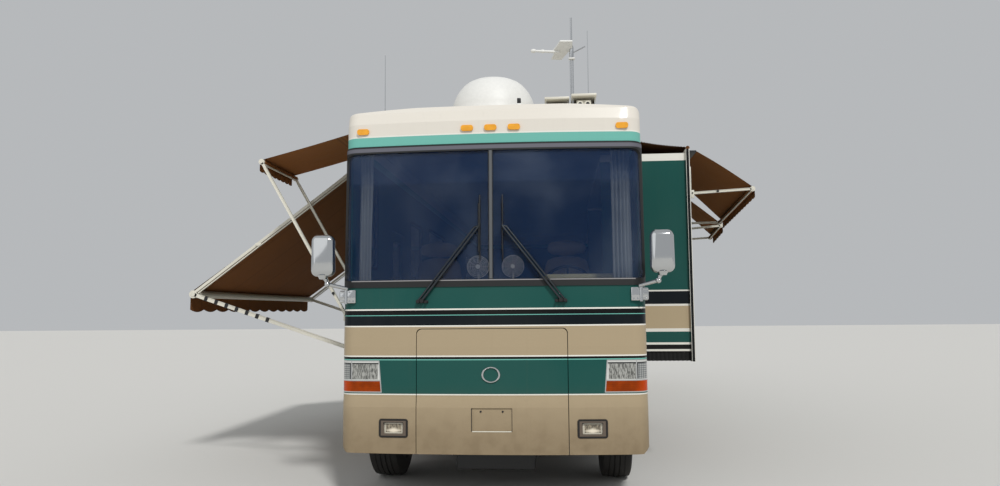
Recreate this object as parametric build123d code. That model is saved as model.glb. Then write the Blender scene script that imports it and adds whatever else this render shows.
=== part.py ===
from build123d import *
import math
import os

# A rear-engined motorhome, parked with its living-room slide-out run out on the driver's side
# and its awnings out on both sides. The coach frame has X to the driver's side, Y back from the
# foremost point of the front cap and Z up from the ground. Everything is in millimetres.

# Body
length = 11100
half_width = 1275
body_bottom = 385
roof_top = 3332
crown_rise = 60
eave_radius = 75
side_top = 3150
wall = 40
skirt_top = 1100
roof_thickness = 45
floor_bottom = 1080
floor_thickness = 40
floor_top = floor_bottom + floor_thickness
floor_front = 330
panel_gap = 6
seat_gap = 0.3

# Front cap
front_cap_end = 450
front_bow_radius = 12000
front_corner_radius = 130
least_radius = 20
pocket_depth = 250
front_lean = 90
front_lean_start = 1250
front_top_radius = 170
bumper_bulge = 14
bumper_crease_low = 560
bumper_crease_high = 760
bumper_top = 845
bumper_chamfer = 50

# Rear cap
rear_cap_depth = 380
rear_cap_start = length - rear_cap_depth
rear_bow_radius = 9000
rear_corner_radius = 160
rear_lean = 70
rear_top_radius = 160

# Windshield
glass_bottom = 1745
glass_top = 2958
glass_side_end = 265
glass_corner_radius = 80
gasket_width = 60
gasket_proud = 8
mullion_width = 34
glass_thickness = 8
glass_inset = 12

# Front access panel
access_half_width = 626
access_top = 1401
access_corner_radius = 42
plate_width = 335
plate_height = 190
plate_centre_z = 662
plate_depth = 12

# Front lamps
lamp_inner = 938
lamp_slant = 22
lamp_bottom = 876
lamp_top = 1140
lamp_side_end = 235
lamp_depth = 60
lamp_frame = 9
turn_top = 970
side_lens_x = 1178
fog_x = 813
fog_z = 591
fog_width = 245
fog_height = 152
fog_lens_width = 160
fog_lens_height = 88
fog_depth = 55
marker_z = 3094
marker_width = 105
marker_height = 50
marker_depth = 30
marker_outer_x = 1110
marker_spacing = 200

# Chassis
front_axle_y = 1100
wheelbase = 6200
rear_axle_y = front_axle_y + wheelbase
rail_x = 430
rail_height = 240
rail_flange = 75
rail_web = 10
rail_bottom = 710
rail_top = rail_bottom + rail_height
rail_front = 260
rail_back = length - 160
tyre_radius = 510
tyre_width = 280
bead_radius = 292
rim_width = 226
dual_spacing = 335
front_track_x = 1050
rear_track_x = 925
arch_radius = 575
kingpin_x = 800
kingpin_radius = 24
pin_clearance = 0.05
hub_radius = 145
spindle_radius = 40

# Baggage bays: three on each side between the axles
bay_front = 2620
bay_pitch = 1320
bay_width = 1256
bay_bottom = 425
bay_top = 1000
bay_inner_x = 560
bay_wall = 20
bay_count = 3

# Entry door on the kerb side
door_front = 1770
door_width = 690
door_bottom = 470
door_top = 2420
door_window_margin = 110
door_window_bottom = 1480
step_count = 2
step_well_inner = 700
step_thickness = 20
step_skin = 15

# Slide-out
slide_front = 1480
slide_length = 3800
slide_back = slide_front + slide_length
slide_bottom = floor_top + 10
slide_top = 3120
slide_reach = 580
slide_wall = 40
slide_inner_x = 1000
slide_floor = 55
slide_clearance = 6
fascia_lip = 36
fascia_drop = 100
fascia_thickness = 35
slide_travel = slide_reach - 5
slide_face = half_width + slide_reach + fascia_thickness
topper_rail_x = 1225
topper_rail_width = 37
topper_rail_z = 3308
topper_roller_radius = 20
topper_roller_z = slide_top + fascia_lip + topper_roller_radius + 2
topper_roller_x = slide_face - 6
topper_bracket = 14

# Side windows: name, side (+1 is the driver's side), front, back, sill, head
window_radius = 70
window_frame = 32
frame_proud = 8
windows = [
    ("driver", 1, 560, 1210, 1950, 2850),
    ("hall", 1, 5600, 6400, 1950, 2650),
    ("bedroom_driver", 1, 8300, 9500, 1950, 2650),
    ("co_driver", -1, 560, 1210, 1950, 2850),
    ("galley", -1, 2850, 3650, 1950, 2650),
    ("dinette", -1, 4150, 5650, 1900, 2700),
    ("bath", -1, 6600, 7100, 2150, 2650),
    ("bedroom_kerb", -1, 8300, 9500, 1950, 2650),
]
# Slide-out windows: front, back, sill, head
slide_windows = [(1640, 2980, 1850, 2600), (3300, 3790, 1850, 2400)]

# Awnings
awning_rail_height = 26
awning_rail_depth = 16
fabric_thickness = 3
fabric_lift = 1
valance_gap = 3
cap_rim = 2
patio_front = 1240
patio_length = 3690
patio_out = 1880
patio_rail_z = 3175
patio_roller_z = 1738
patio_roller_radius = 38
patio_arm_foot_z = 1110
patio_arm_width = 38
patio_rafter_width = 26
patio_rafter_z = 3130
patio_valance = 190
window_awning_front = 310
window_awning_length = 900
window_awning_out = 812
window_awning_rail_z = 3125
window_awning_roller_z = 2895
window_awning_foot_z = 1515
small_roller_radius = 24
small_arm_width = 24
small_valance = 90
# Slide-out awnings: front, length, reach, height of the rail, heights of the roller and of the arms'
# feet at the front end, and the same at the rear end, which hangs lower to shed rain
slide_case_depth = 80
slide_awnings = [
    (1500, 1620, 625, 3143, (2744, 2712), (2592, 2580)),
    (3190, 700, 655, 3040, (2561, 2505), (2477, 2440)),
]
arm_depth = 22
bracket_depth = 45

# Roof equipment
dome_x = -50
dome_y = 860
dome_radius = 400
dome_height = 425
horn_x = 688
horn_y = 560
horn_spacing = 242
horn_width = 198
horn_height = 130
horn_length = 330
mast_x = 720
mast_y = 1250
mast_length = 690
mast_tube = 26
mast_pole_length = 390
whip_radius = 5
whips = [(-1068, 760, 660), (860, 760, 830)]  # X, Y and height above the roof
conditioner_length = 1050
conditioner_width = 760
conditioner_height = 290
conditioner_ys = [3300, 8300]
vent_size = 420
vent_height = 90
vent_ys = [5400, 6900]

# Mirrors
mirror_x = 1390
mirror_y = -60
mirror_bottom = 1838
mirror_width = 205
mirror_height = 345
mirror_depth = 120
mirror_radius = 45
mirror_bracket_z = 1672
mirror_bracket_width = 150
mirror_bracket_height = 115
mirror_arm_radius = 15

# Wipers
wiper_pivot_x = 575
wiper_pivot_z = 1631
wiper_tip_x = 99
wiper_tip_z = 2244
wiper_blade_bottom = 1960
wiper_blade_top = 2515
wiper_rod_radius = 8
wiper_rod_spacing = 34
wiper_stand_off = 30

# Cab
dash_front = 420
dash_back = 800
dash_top = 1760
seat_x = 640
seat_y = 860
steering_wheel_radius = 210
fan_x = 155
fan_z = 1935
fan_radius = 96
curtain_inner_x = 930

# Rear
hatch_half_width = 760
hatch_bottom = 560
hatch_top = 1180
tail_lamp_x = 1000
tail_lamp_width = 160
tail_lamp_bottom = 900
tail_lamp_height = 420
ladder_x = 560
ladder_width = 360
ladder_bottom = 1330
ladder_rung_pitch = 300
ladder_rung_count = 6
ladder_rung_radius = 12
ladder_stand_off = 110
engine_width = 700
engine_length = 1150
engine_height = 560
engine_bottom = 480
engine_back = length - 480
hitch_size = 63
hitch_bore = 51
hitch_length = 230
hitch_z = 440

# The origin is on the ground, under the middle of the whole outline with its awnings
valance_reach = valance_gap + fabric_thickness
reach_kerb = half_width + patio_out + patio_roller_radius + valance_reach
reach_driver = slide_face + max(a[2] for a in slide_awnings) + small_roller_radius + valance_reach
front_reach = -(mirror_y - mirror_depth / 2)
back_reach = ladder_stand_off + 14
shift_x = (reach_kerb - reach_driver) / 2
shift_y = -(length + back_reach - front_reach) / 2

big = 20000


def block(x0, x1, y0, y1, z0, z1):
    """A box between two corners."""
    low = (min(x0, x1), min(y0, y1), min(z0, z1))
    size = (abs(x1 - x0), abs(y1 - y0), abs(z1 - z0))
    centre = tuple(a + b / 2 for a, b in zip(low, size))
    return Pos(*centre) * Box(*size)


def rod(start, end, radius):
    """A round bar between two points."""
    start, end = Vector(*start), Vector(*end)
    run = end - start
    return Plane(origin=start, z_dir=run) * Pos(0, 0, run.length / 2) * Cylinder(radius, run.length)


def bar(start, end, width, y0, y1):
    """A flat-sided bar between two points (x, z), from y0 to y1."""
    (xa, za), (xb, zb) = start, end
    run = math.hypot(xb - xa, zb - za)
    nx, nz = -(zb - za) / run * width / 2, (xb - xa) / run * width / 2
    corners = [(xa + nx, za + nz), (xb + nx, zb + nz), (xb - nx, zb - nz), (xa - nx, za - nz)]
    return along_y(make_face(Polyline(*corners, close=True)), y0, y1)


def along_x(face, x0, x1):
    """A face drawn in (y, z), extruded from x0 to x1."""
    return Plane(origin=(x0, 0, 0), x_dir=(0, 1, 0), z_dir=(1, 0, 0)) * extrude(face, x1 - x0)


def along_y(face, y0, y1):
    """A face drawn in (x, z), extruded from y0 to y1."""
    return Plane(origin=(0, y1, 0), x_dir=(1, 0, 0), z_dir=(0, -1, 0)) * extrude(face, y1 - y0)


def along_z(face, z0, z1):
    """A face drawn in (x, y), extruded from z0 to z1."""
    return Pos(0, 0, z0) * extrude(face, z1 - z0)


def plate(x0, x1, y0, y1, z0, z1):
    """A flat piece between two corners, a little short of its neighbours on every side."""
    g = seat_gap / 2
    return block(min(x0, x1) + g, max(x0, x1) - g, y0 + g, y1 - g, z0 + g, z1 - g)


def between(near, far, y0, y1):
    """A solid with straight sides from an outline in (x, z) at y0 to one at y1."""
    ends = [[(x, y, z) for x, z in points] for points, y in ((near, y0), (far, y1))]
    return loft([make_face(Polyline(*points, close=True)) for points in ends], ruled=True)


def rounded(u0, u1, v0, v1, radius):
    """A rectangle between two corners with rounded corners."""
    centre = Pos((u0 + u1) / 2, (v0 + v1) / 2)
    return centre * RectangleRounded(abs(u1 - u0), abs(v1 - v0), radius)


def mirrored(shape):
    return mirror(shape, Plane.YZ)


def outline(inset, bottom):
    """The body seen from the front: straight sides, eave radii and a slightly crowned roof."""
    side = half_width - inset
    top = roof_top - inset
    shoulder = top - crown_rise
    edges = Polyline((-side, shoulder), (-side, bottom), (side, bottom), (side, shoulder))
    crown = ThreePointArc((side, shoulder), (0, top), (-side, shoulder))
    face = make_face(edges + crown)
    corners = [v for v in face.vertices() if v.Y > bottom + 1]
    return fillet(corners, max(eave_radius - inset, least_radius))


def stack(plan, stations):
    """One plan swept up through stations of (height, shift in Y), with straight runs between them."""
    return loft([Pos(0, y, z) * plan for z, y in stations], ruled=True)


def brow(radius, inset, direction, lean):
    """Stations that round the top of a cap from its face into its roof."""
    stations = []
    for degrees in (0, 35, 65, 90):
        rise = radius * math.sin(math.radians(degrees))
        back = radius * (1 - math.cos(math.radians(degrees)))
        stations.append((roof_top - radius + rise - inset, direction * (lean + back)))
    return stations


def front_solid(inset=0, extra=0):
    """The front cap as a solid, its skin moved in by inset; extra runs it past its open sides."""
    end = front_cap_end + extra
    bottom = body_bottom - extra
    side = half_width - inset
    reach = end + 400
    plan = Pos(0, inset + (reach - inset) / 2) * Rectangle(2 * side, reach - inset)
    plan = plan & (Pos(0, front_bow_radius) * Circle(front_bow_radius - inset))
    fore = [v for v in plan.vertices() if v.Y < end - 1]
    plan = fillet(fore, max(front_corner_radius - inset, least_radius))
    stations = [
        (bottom, bumper_bulge * 0.4),
        (bumper_crease_low, 0),
        (bumper_crease_high, 0),
        (bumper_top, bumper_bulge),
        (front_lean_start, bumper_bulge),
    ]
    stations += brow(front_top_radius, inset, 1, front_lean)
    body = stack(plan, stations)
    body = body & block(-half_width - 9, half_width + 9, -99, end, bottom - 9, roof_top + 9)
    return body & along_y(outline(inset, bottom - 20), -60, end + 20)


def rear_solid(inset=0, extra=0):
    """The rear cap as a solid, its skin moved in by inset; extra runs it past its open sides."""
    start = rear_cap_start - extra
    bottom = body_bottom - extra
    side = half_width - inset
    fore = start - 400
    plan = Pos(0, (fore + length - inset) / 2) * Rectangle(2 * side, length - inset - fore)
    plan = plan & (Pos(0, length - rear_bow_radius) * Circle(rear_bow_radius - inset))
    aft = [v for v in plan.vertices() if v.Y > start + 1]
    plan = fillet(aft, rear_corner_radius - inset)
    stations = [(bottom, 0), (hatch_top + 100, 0)]
    stations += brow(rear_top_radius, inset, -1, rear_lean)
    body = stack(plan, stations)
    body = body & block(-half_width - 9, half_width + 9, start, length + 9, bottom - 9, roof_top + 9)
    return body & along_y(outline(inset, bottom - 20), start - 20, length + 20)


def front_y(x, z):
    """Where the front's skin lies at a place between its corners."""
    bow = front_bow_radius - math.sqrt(front_bow_radius**2 - x**2)
    corner = max(0, abs(x) - (half_width - front_corner_radius))
    turn = front_corner_radius - math.sqrt(front_corner_radius**2 - corner**2)
    lean = max(0, z - front_lean_start) / (roof_top - front_top_radius - front_lean_start) * front_lean
    return bow + turn + bumper_bulge + lean


front_outer = front_solid()
front_inner = front_solid(wall, 60)
front_skin = front_outer - front_inner
front_clear = front_solid(-seat_gap)
rear_outer = rear_solid()
rear_inner = rear_solid(wall, 60)
rear_skin = rear_outer - rear_inner


def access_region(gap):
    """The outline of the front access panel, drawn in (x, z)."""
    half = access_half_width - gap
    top = access_top - gap
    face = Pos(0, (top + body_bottom - 200) / 2) * Rectangle(2 * half, top - body_bottom + 200)
    upper = [v for v in face.vertices() if v.Y > body_bottom]
    return fillet(upper, access_corner_radius)


def lamp_region(side, inset=0):
    """The outline of one headlamp unit, drawn in (x, z): wider at its foot, open to the body's side."""
    outer = half_width + 50
    points = [
        (lamp_inner + inset, lamp_top - inset),
        (outer, lamp_top - inset),
        (outer, lamp_bottom + inset),
        (lamp_inner - lamp_slant + inset, lamp_bottom + inset),
    ]
    return make_face(Polyline(*[(side * x, z) for x, z in points], close=True))


def front_cap():
    """The moulded front, with its openings for the windshield, access panel, lamps and plate."""
    opening = rounded(-300, glass_side_end, glass_bottom, glass_top, glass_corner_radius)
    cap = front_skin - along_x(opening, -big, big)
    cap -= along_y(access_region(0), -big, pocket_depth)
    for side in (-1, 1):
        cap -= along_y(lamp_region(side), -big, lamp_side_end)
        x = side * fog_x
        fog = rounded(x - fog_width / 2, x + fog_width / 2, fog_z - fog_height / 2, fog_z + fog_height / 2, 22)
        cap -= along_y(fog, -big, pocket_depth)
    chamfer = [(half_width - bumper_chamfer, body_bottom), (half_width + 1, body_bottom)]
    chamfer += [(half_width + 1, body_bottom + bumper_chamfer)]
    corner = along_y(make_face(Polyline(*chamfer, close=True)), -big, big)
    return cap - corner - mirrored(corner)


def front_panel():
    """The access panel under the windshield, with the licence-plate recess."""
    panel = front_skin & along_y(access_region(panel_gap), -big, pocket_depth)
    low, high = plate_centre_z - plate_height / 2, plate_centre_z + plate_height / 2
    recess = rounded(-plate_width / 2, plate_width / 2, low, high, 8)
    return panel - along_y(recess, -big, plate_depth)


def windshield_zone(outer, inner, trim):
    """A layer of the front's skin inside the windshield opening, trimmed all round."""
    opening = rounded(
        -300, glass_side_end - trim, glass_bottom + trim, glass_top - trim, glass_corner_radius
    )
    layer = front_solid(outer) - front_solid(inner, 60)
    return layer & along_x(opening, -big, big)


def windshield():
    """Two curved panes that wrap round the corners."""
    panes = windshield_zone(glass_inset, glass_inset + glass_thickness, gasket_width)
    return panes - block(-mullion_width / 2, mullion_width / 2, -big, big, 0, big)


def windshield_frame():
    """The rubber surround of the windshield, with its centre bar."""
    ring = windshield_zone(-gasket_proud, glass_inset + glass_thickness + 8, 0)
    hole = rounded(
        -300, glass_side_end - gasket_width, glass_bottom + gasket_width, glass_top - gasket_width,
        glass_corner_radius,
    )
    frame = ring - along_x(hole, -big, big)
    low, high = glass_bottom + gasket_width, glass_top - gasket_width
    bar_region = block(-mullion_width / 2, mullion_width / 2, -big, pocket_depth, low, high)
    centre = (front_solid(-gasket_proud) - front_solid(glass_inset + glass_thickness + 8, 60)) & bar_region
    return frame + centre


def lamp_piece(side, region):
    """A piece of a headlamp unit: the front's skin cut to a region drawn in (x, z)."""
    layer = front_solid() - front_solid(lamp_depth, 60)
    return layer & along_y(region, -big, lamp_side_end - seat_gap) & along_y(lamp_region(side, seat_gap), -big, big)


def lens_regions(side):
    """The main lens, the side lens and the turn lens of a headlamp unit."""
    x0, x1 = lamp_inner + lamp_frame, side_lens_x - lamp_frame / 2
    top = lamp_top - lamp_frame
    mid = turn_top + lamp_frame
    main = [(x0, top), (x1, top), (x1, mid), (x0 - lamp_slant * 0.6, mid)]
    x2, x3 = side_lens_x + lamp_frame / 2, half_width + 40
    outer = [(x2, top), (x3, top), (x3, mid), (x2, mid)]
    low = lamp_bottom + lamp_frame
    turn = [(x0 - lamp_slant * 0.65, turn_top), (x3, turn_top), (x3, low), (x0 - lamp_slant, low)]
    return [make_face(Polyline(*[(side * x, z) for x, z in p], close=True)) for p in (main, outer, turn)]


def headlamps():
    """Clear lenses: a main and a side lens in each corner, and the fog lamp lenses."""
    pieces = []
    for side in (-1, 1):
        main, outer, _ = lens_regions(side)
        pieces += [lamp_piece(side, main), lamp_piece(side, outer)]
        x = side * fog_x
        lens = rounded(
            x - fog_lens_width / 2, x + fog_lens_width / 2,
            fog_z - fog_lens_height / 2, fog_z + fog_lens_height / 2, 10,
        )
        layer = front_solid(14) - front_solid(fog_depth - 8, 60)
        pieces.append(layer & along_y(lens, -big, pocket_depth))
    return pieces


def lamp_frames():
    """Bright surrounds of the headlamp units and dark surrounds of the fog lamps."""
    pieces = []
    for side in (-1, 1):
        unit = lamp_piece(side, lamp_region(side))
        for region in lens_regions(side):
            unit -= along_y(region, -big, lamp_side_end + 1)
        pieces.append(unit)
        x = side * fog_x
        gap = seat_gap
        ring = rounded(
            x - fog_width / 2 + gap, x + fog_width / 2 - gap,
            fog_z - fog_height / 2 + gap, fog_z + fog_height / 2 - gap, 22,
        )
        lens = rounded(
            x - fog_lens_width / 2 - gap, x + fog_lens_width / 2 + gap,
            fog_z - fog_lens_height / 2 - gap, fog_z + fog_lens_height / 2 + gap, 10,
        )
        layer = front_solid(-4) - front_solid(fog_depth, 60)
        pieces.append(layer & along_y(ring - lens, -big, pocket_depth))
    return pieces


def marker_lamps():
    """Amber lamps: five on the brow and a turn lens in each headlamp unit."""
    pieces = [lamp_piece(side, lens_regions(side)[2]) for side in (-1, 1)]
    xs = [-marker_outer_x, -marker_spacing, 0, marker_spacing, marker_outer_x]
    for x in xs:
        lamp = rounded(x - marker_width / 2, x + marker_width / 2, marker_z - marker_height / 2,
                       marker_z + marker_height / 2, marker_height / 2 - 4)
        face_y = front_y(x, marker_z)
        pieces.append(along_y(lamp, face_y - marker_depth, face_y + 70) - front_clear)
    return pieces


def window_hole(side, front, back, sill, head, inset, x0, x1):
    """A window's rounded outline, moved in by inset, through the wall on one side."""
    face = rounded(front + inset, back - inset, sill + inset, head - inset, window_radius - inset * 0.6)
    return along_x(face, min(side * x0, side * x1), max(side * x0, side * x1))


def arch(side, y):
    """The wheel arch cut from a side wall."""
    circle = along_x(Pos(y, tyre_radius) * Circle(arch_radius), side * (half_width - wall - 1), side * (half_width + 1))
    foot = block(side * (half_width - wall - 1), side * (half_width + 1), y - arch_radius, y + arch_radius, 0, tyre_radius)
    return circle + foot


def bay_spans():
    return [(bay_front + i * bay_pitch, bay_front + i * bay_pitch + bay_width) for i in range(bay_count)]


def side_wall(side):
    """One side wall: the upper panel with its windows, and the skirt panels under it."""
    inner, outer = side * (half_width - wall), side * half_width
    near, far = side * (half_width - wall - 1), side * (half_width + 1)
    upper = block(inner, outer, front_cap_end, rear_cap_start, skirt_top, side_top)
    for _, s, y0, y1, z0, z1 in windows:
        if s == side:
            upper -= window_hole(side, y0, y1, z0, z1, 0, half_width - wall - 1, half_width + 1)
    door_back = door_front + door_width
    if side > 0:
        gap = slide_clearance
        upper -= block(near, far, slide_front - gap, slide_back + gap, slide_bottom - gap, slide_top + gap)
    else:
        upper -= block(near, far, door_front, door_back, door_bottom, door_top)

    def skirt(y0, y1, z0=body_bottom, z1=skirt_top):
        return plate(inner, outer, y0, y1, z0, z1)

    spans = bay_spans()
    fore, aft = spans[0][0], spans[-1][1]
    arches = [(front_cap_end, front_axle_y + arch_radius + 20), (rear_axle_y - arch_radius - 20, rear_axle_y + arch_radius + 20)]
    panels = [skirt(*arches[0]) - arch(side, front_axle_y), skirt(*arches[1]) - arch(side, rear_axle_y)]
    panels += [skirt(aft, arches[1][0]), skirt(arches[1][1], rear_cap_start)]
    panels += [skirt(spans[i][1], spans[i + 1][0]) for i in range(bay_count - 1)]
    for y0, y1 in spans:
        panels += [skirt(y0, y1, z1=bay_bottom), skirt(y0, y1, z0=bay_top)]
    if side > 0:
        panels.append(skirt(arches[0][1], fore))
    else:
        panels += [skirt(arches[0][1], door_front), skirt(door_front, door_back, z1=door_bottom)]
        panels.append(skirt(door_back, fore))
    return [upper] + panels


def roof_shell():
    """The crowned roof between the caps, and the rail on its eave that holds the slide-out's cover."""
    ring = outline(0, side_top) - outline(roof_thickness, side_top)
    x1 = topper_rail_x + topper_rail_width
    rail = block(topper_rail_x, x1, slide_front, slide_back, roof_top - 2 * eave_radius, topper_rail_z)
    return [along_y(ring, front_cap_end, rear_cap_start), rail - roof_keep_out]


def side_frames_and_glass():
    """The framed side windows: a rubber and metal ring and a pane in each hole."""
    frames, panes = [], []
    for _, side, y0, y1, z0, z1 in windows:
        ring = window_hole(side, y0, y1, z0, z1, 0, half_width - wall, half_width)
        lip = window_hole(side, y0, y1, z0, z1, -10, half_width, half_width + frame_proud)
        ring += lip
        ring -= window_hole(side, y0, y1, z0, z1, window_frame, half_width - wall - 1, half_width + 20)
        frames.append(ring)
        panes.append(window_hole(side, y0, y1, z0, z1, window_frame, half_width - 20, half_width - 12))
    return frames, panes


def floor():
    """The cabin floor's boards, the step well and the baggage tubs, each of flat pieces."""
    inner = half_width - wall
    well = door_front + door_width
    back = -step_well_inner
    pieces = [
        plate(-inner, inner, floor_front, door_front, floor_bottom, floor_top),
        plate(back, inner, door_front, well, floor_bottom, floor_top),
        plate(-inner, inner, well, rear_cap_start, floor_bottom, floor_top),
    ]
    low = door_bottom - 10
    skin = step_skin
    pieces.append(plate(-inner, back, door_front, well, low - step_thickness, low))
    pieces.append(plate(back, back + skin, door_front - skin, well + skin, low - step_thickness, floor_bottom))
    for y0 in (door_front - skin, well):
        pieces.append(plate(-inner, back, y0, y0 + skin, low - step_thickness, floor_bottom))
    rise = (floor_top - door_bottom) / (step_count + 1)
    run = (inner - step_well_inner) / (step_count + 1)
    for i in range(step_count):
        x0 = -inner + (i + 1) * run
        z = low + (i + 1) * rise
        pieces.append(plate(x0, back, door_front, well, z - step_thickness, z))
        pieces.append(plate(x0, x0 + skin, door_front, well, z - rise, z - step_thickness))
    spans = bay_spans()
    first, last = spans[0][0] - bay_wall, spans[-1][1] + bay_wall
    edges = [first] + [y for span in spans for y in span] + [last]
    for side in (-1, 1):
        wall_x, tub_x = side * bay_inner_x, side * (bay_inner_x + bay_wall)
        pieces.append(plate(wall_x, side * inner, first, last, bay_bottom - bay_wall, bay_bottom))
        pieces.append(plate(wall_x, tub_x, first, last, bay_bottom, floor_bottom))
        for y0, y1 in zip(edges[::2], edges[1::2]):
            pieces.append(plate(tub_x, side * inner, y0, y1, bay_bottom, floor_bottom))
    return pieces


def chassis():
    """Two channel rails with crossmembers, posts under the floor, and the tow hitch."""
    pieces = []
    inner = rail_x - rail_flange
    members = [rail_front + 60, front_axle_y - 420, front_axle_y + 560, 3000, 4300, 5600, rear_axle_y - 620,
               rear_axle_y + 620, rail_back - 80]
    web = rail_x - rail_web
    for side in (-1, 1):
        channel = block(side * inner, side * rail_x, rail_front, rail_back, rail_bottom, rail_top)
        pieces.append(channel - block(
            side * (inner - 1), side * web, rail_front - 1, rail_back + 1, rail_bottom + rail_web, rail_top - rail_web,
        ))
        for y in members:
            pieces.append(plate(side * (inner - 60), side * (inner + 30), y - 30, y + 30, rail_top, floor_bottom))
    for y in members:
        pieces.append(plate(-web, web, y - 40, y + 40, rail_bottom + 60, rail_top - 60))
    tow_y = rail_back + 40
    pieces.append(plate(-rail_x, rail_x, tow_y - 120, tow_y, hitch_z - 50, rail_bottom))
    half, bore = hitch_size / 2, hitch_bore / 2
    tube = plate(-half, half, tow_y, tow_y + hitch_length, hitch_z - half, hitch_z + half)
    pieces.append(tube - block(-bore, bore, tow_y + 20, tow_y + hitch_length + 1, hitch_z - bore, hitch_z + bore))
    return pieces


def rear_cap():
    """The moulded rear, with its hatch opening and lamp pockets."""
    cap = rear_skin
    cap -= block(-hatch_half_width, hatch_half_width, length - 200, big, hatch_bottom, hatch_top)
    cap -= block(-hitch_size, hitch_size, length - 200, big, 0, hitch_z + hitch_size)
    for side in (-1, 1):
        x0, x1 = side * tail_lamp_x, side * (tail_lamp_x + tail_lamp_width)
        cap -= block(x0, x1, length - 200, big, tail_lamp_bottom, tail_lamp_bottom + tail_lamp_height)
    return cap


def engine_hatch():
    """The rear engine door, with a louvred grille cut through it."""
    gap = panel_gap
    half = hatch_half_width - gap
    door = rear_skin & block(-half, half, length - 200, big, hatch_bottom + gap, hatch_top - gap)
    for i in range(9):
        z = hatch_bottom + 90 + i * 50
        door -= block(-half + 120, half - 120, length - 200, big, z, z + 22)
    return door


def tail_lamps():
    pieces = []
    for side in (-1, 1):
        gap = seat_gap
        x0, x1 = side * (tail_lamp_x + gap), side * (tail_lamp_x + tail_lamp_width - gap)
        region = block(x0, x1, length - 200, big, tail_lamp_bottom + gap, tail_lamp_bottom + tail_lamp_height - gap)
        pieces.append((rear_solid(-12) - rear_inner) & region)
    return pieces


def ladder():
    """The roof ladder on the rear: two stiles, rungs and stand-offs."""
    y = length + ladder_stand_off
    x0, x1 = ladder_x, ladder_x + ladder_width
    top = ladder_bottom + (ladder_rung_count - 0.4) * ladder_rung_pitch
    frame = rod((x0, y, ladder_bottom - 60), (x0, y, top), 14) + rod((x1, y, ladder_bottom - 60), (x1, y, top), 14)
    for i in range(ladder_rung_count):
        z = ladder_bottom + i * ladder_rung_pitch
        frame += rod((x0, y, z), (x1, y, z), ladder_rung_radius)
    keep_out = rear_solid(-seat_gap)
    for x in (x0, x1):
        for z in (ladder_bottom + 60, top - 120):
            frame += rod((x, y, z), (x, length - 140, z), 11)
    return frame - keep_out


def tyre(x):
    """A tyre centred at x on the X axis, with rounded shoulders and a straight bead."""
    half = tyre_width / 2
    points = [
        (-rim_width / 2, bead_radius), (-half, bead_radius + 95), (-half + 6, tyre_radius - 45),
        (-half + 34, tyre_radius), (half - 34, tyre_radius), (half - 6, tyre_radius - 45),
        (half, bead_radius + 95), (rim_width / 2, bead_radius),
    ]
    profile = make_face(Polyline(*[(x + u, r) for u, r in points], close=True))
    wheel = revolve(Plane.XZ * profile, Axis.X)
    return wheel


def rim(x, side, dish, holes=10):
    """A disc wheel centred at x; its disc stands dish towards the outside, with hand holes."""
    half = rim_width / 2
    inner = bead_radius - 22
    barrel = Cylinder(bead_radius, rim_width) - Cylinder(inner, rim_width + 2)
    shape = Plane.YZ * barrel
    disc_at = side * dish
    cone = [
        (disc_at - 8, 60), (disc_at - 8, 165), (disc_at - side * 50 - 8, inner + 4),
        (disc_at - side * 50 + 8, inner + 4), (disc_at + 8, 165), (disc_at + 8, 60),
    ]
    disc = revolve(Plane.XZ * make_face(Polyline(*cone, close=True)), Axis.X)
    shape += disc
    for i in range(holes):
        shape -= Rot(X=360 / holes * i) * Pos(disc_at, 0, 222) * Rot(Y=90) * Cylinder(27, 160)
    return Pos(x, 0, 0) * shape


def at_axle(shape, y):
    return Pos(0, y, tyre_radius) * shape


def front_wheel(side):
    x = side * front_track_x
    hub_bore = spindle_radius + pin_clearance
    wheel = rim(x, side, 40)
    hub = Pos(x, 0, 0) * Rot(Y=90) * (Cylinder(60, 96) - Cylinder(hub_bore, 98))
    cap_x = x + side * 78
    cover = Pos(cap_x, 0, 0) * Rot(Y=90) * Cylinder(72, 60)
    cover -= Pos(cap_x - side * 20, 0, 0) * Rot(Y=90) * Cylinder(hub_bore, 60)
    return at_axle(tyre(x), front_axle_y), at_axle(wheel + hub + cover, front_axle_y)


def rear_wheels(side):
    outer_x = side * (rear_track_x + dual_spacing / 2)
    inner_x = side * (rear_track_x - dual_spacing / 2)
    tyres = tyre(outer_x) + tyre(inner_x)
    rims = rim(outer_x, side, -60) + rim(inner_x, side, 60, 0)
    bore = spindle_radius + 10 + pin_clearance
    x0 = inner_x - side * 20
    x1 = outer_x + side * 70
    hub = Pos((x0 + x1) / 2, 0, 0) * Rot(Y=90) * Cylinder(112, abs(x1 - x0))
    hub -= Pos((x0 + x1) / 2 - side * 30, 0, 0) * Rot(Y=90) * Cylinder(bore, abs(x1 - x0))
    return at_axle(tyres, rear_axle_y), at_axle(rims + hub, rear_axle_y)


def knuckle(side):
    """A steering knuckle: kingpin boss, spindle and steering arm."""
    z = 0
    boss = Pos(side * kingpin_x, 0, z) * (Cylinder(58, 150) - Cylinder(kingpin_radius + pin_clearance, 152))
    start = side * (kingpin_x + 45)
    end = side * (front_track_x + 66)
    spindle = Pos((start + end) / 2, 0, z) * Rot(Y=90) * Cylinder(spindle_radius, abs(end - start))
    arm = block(side * (kingpin_x - 15), side * (kingpin_x + 15), 50, 230, -60, -30)
    return at_axle(boss + spindle + arm, front_axle_y)


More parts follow.
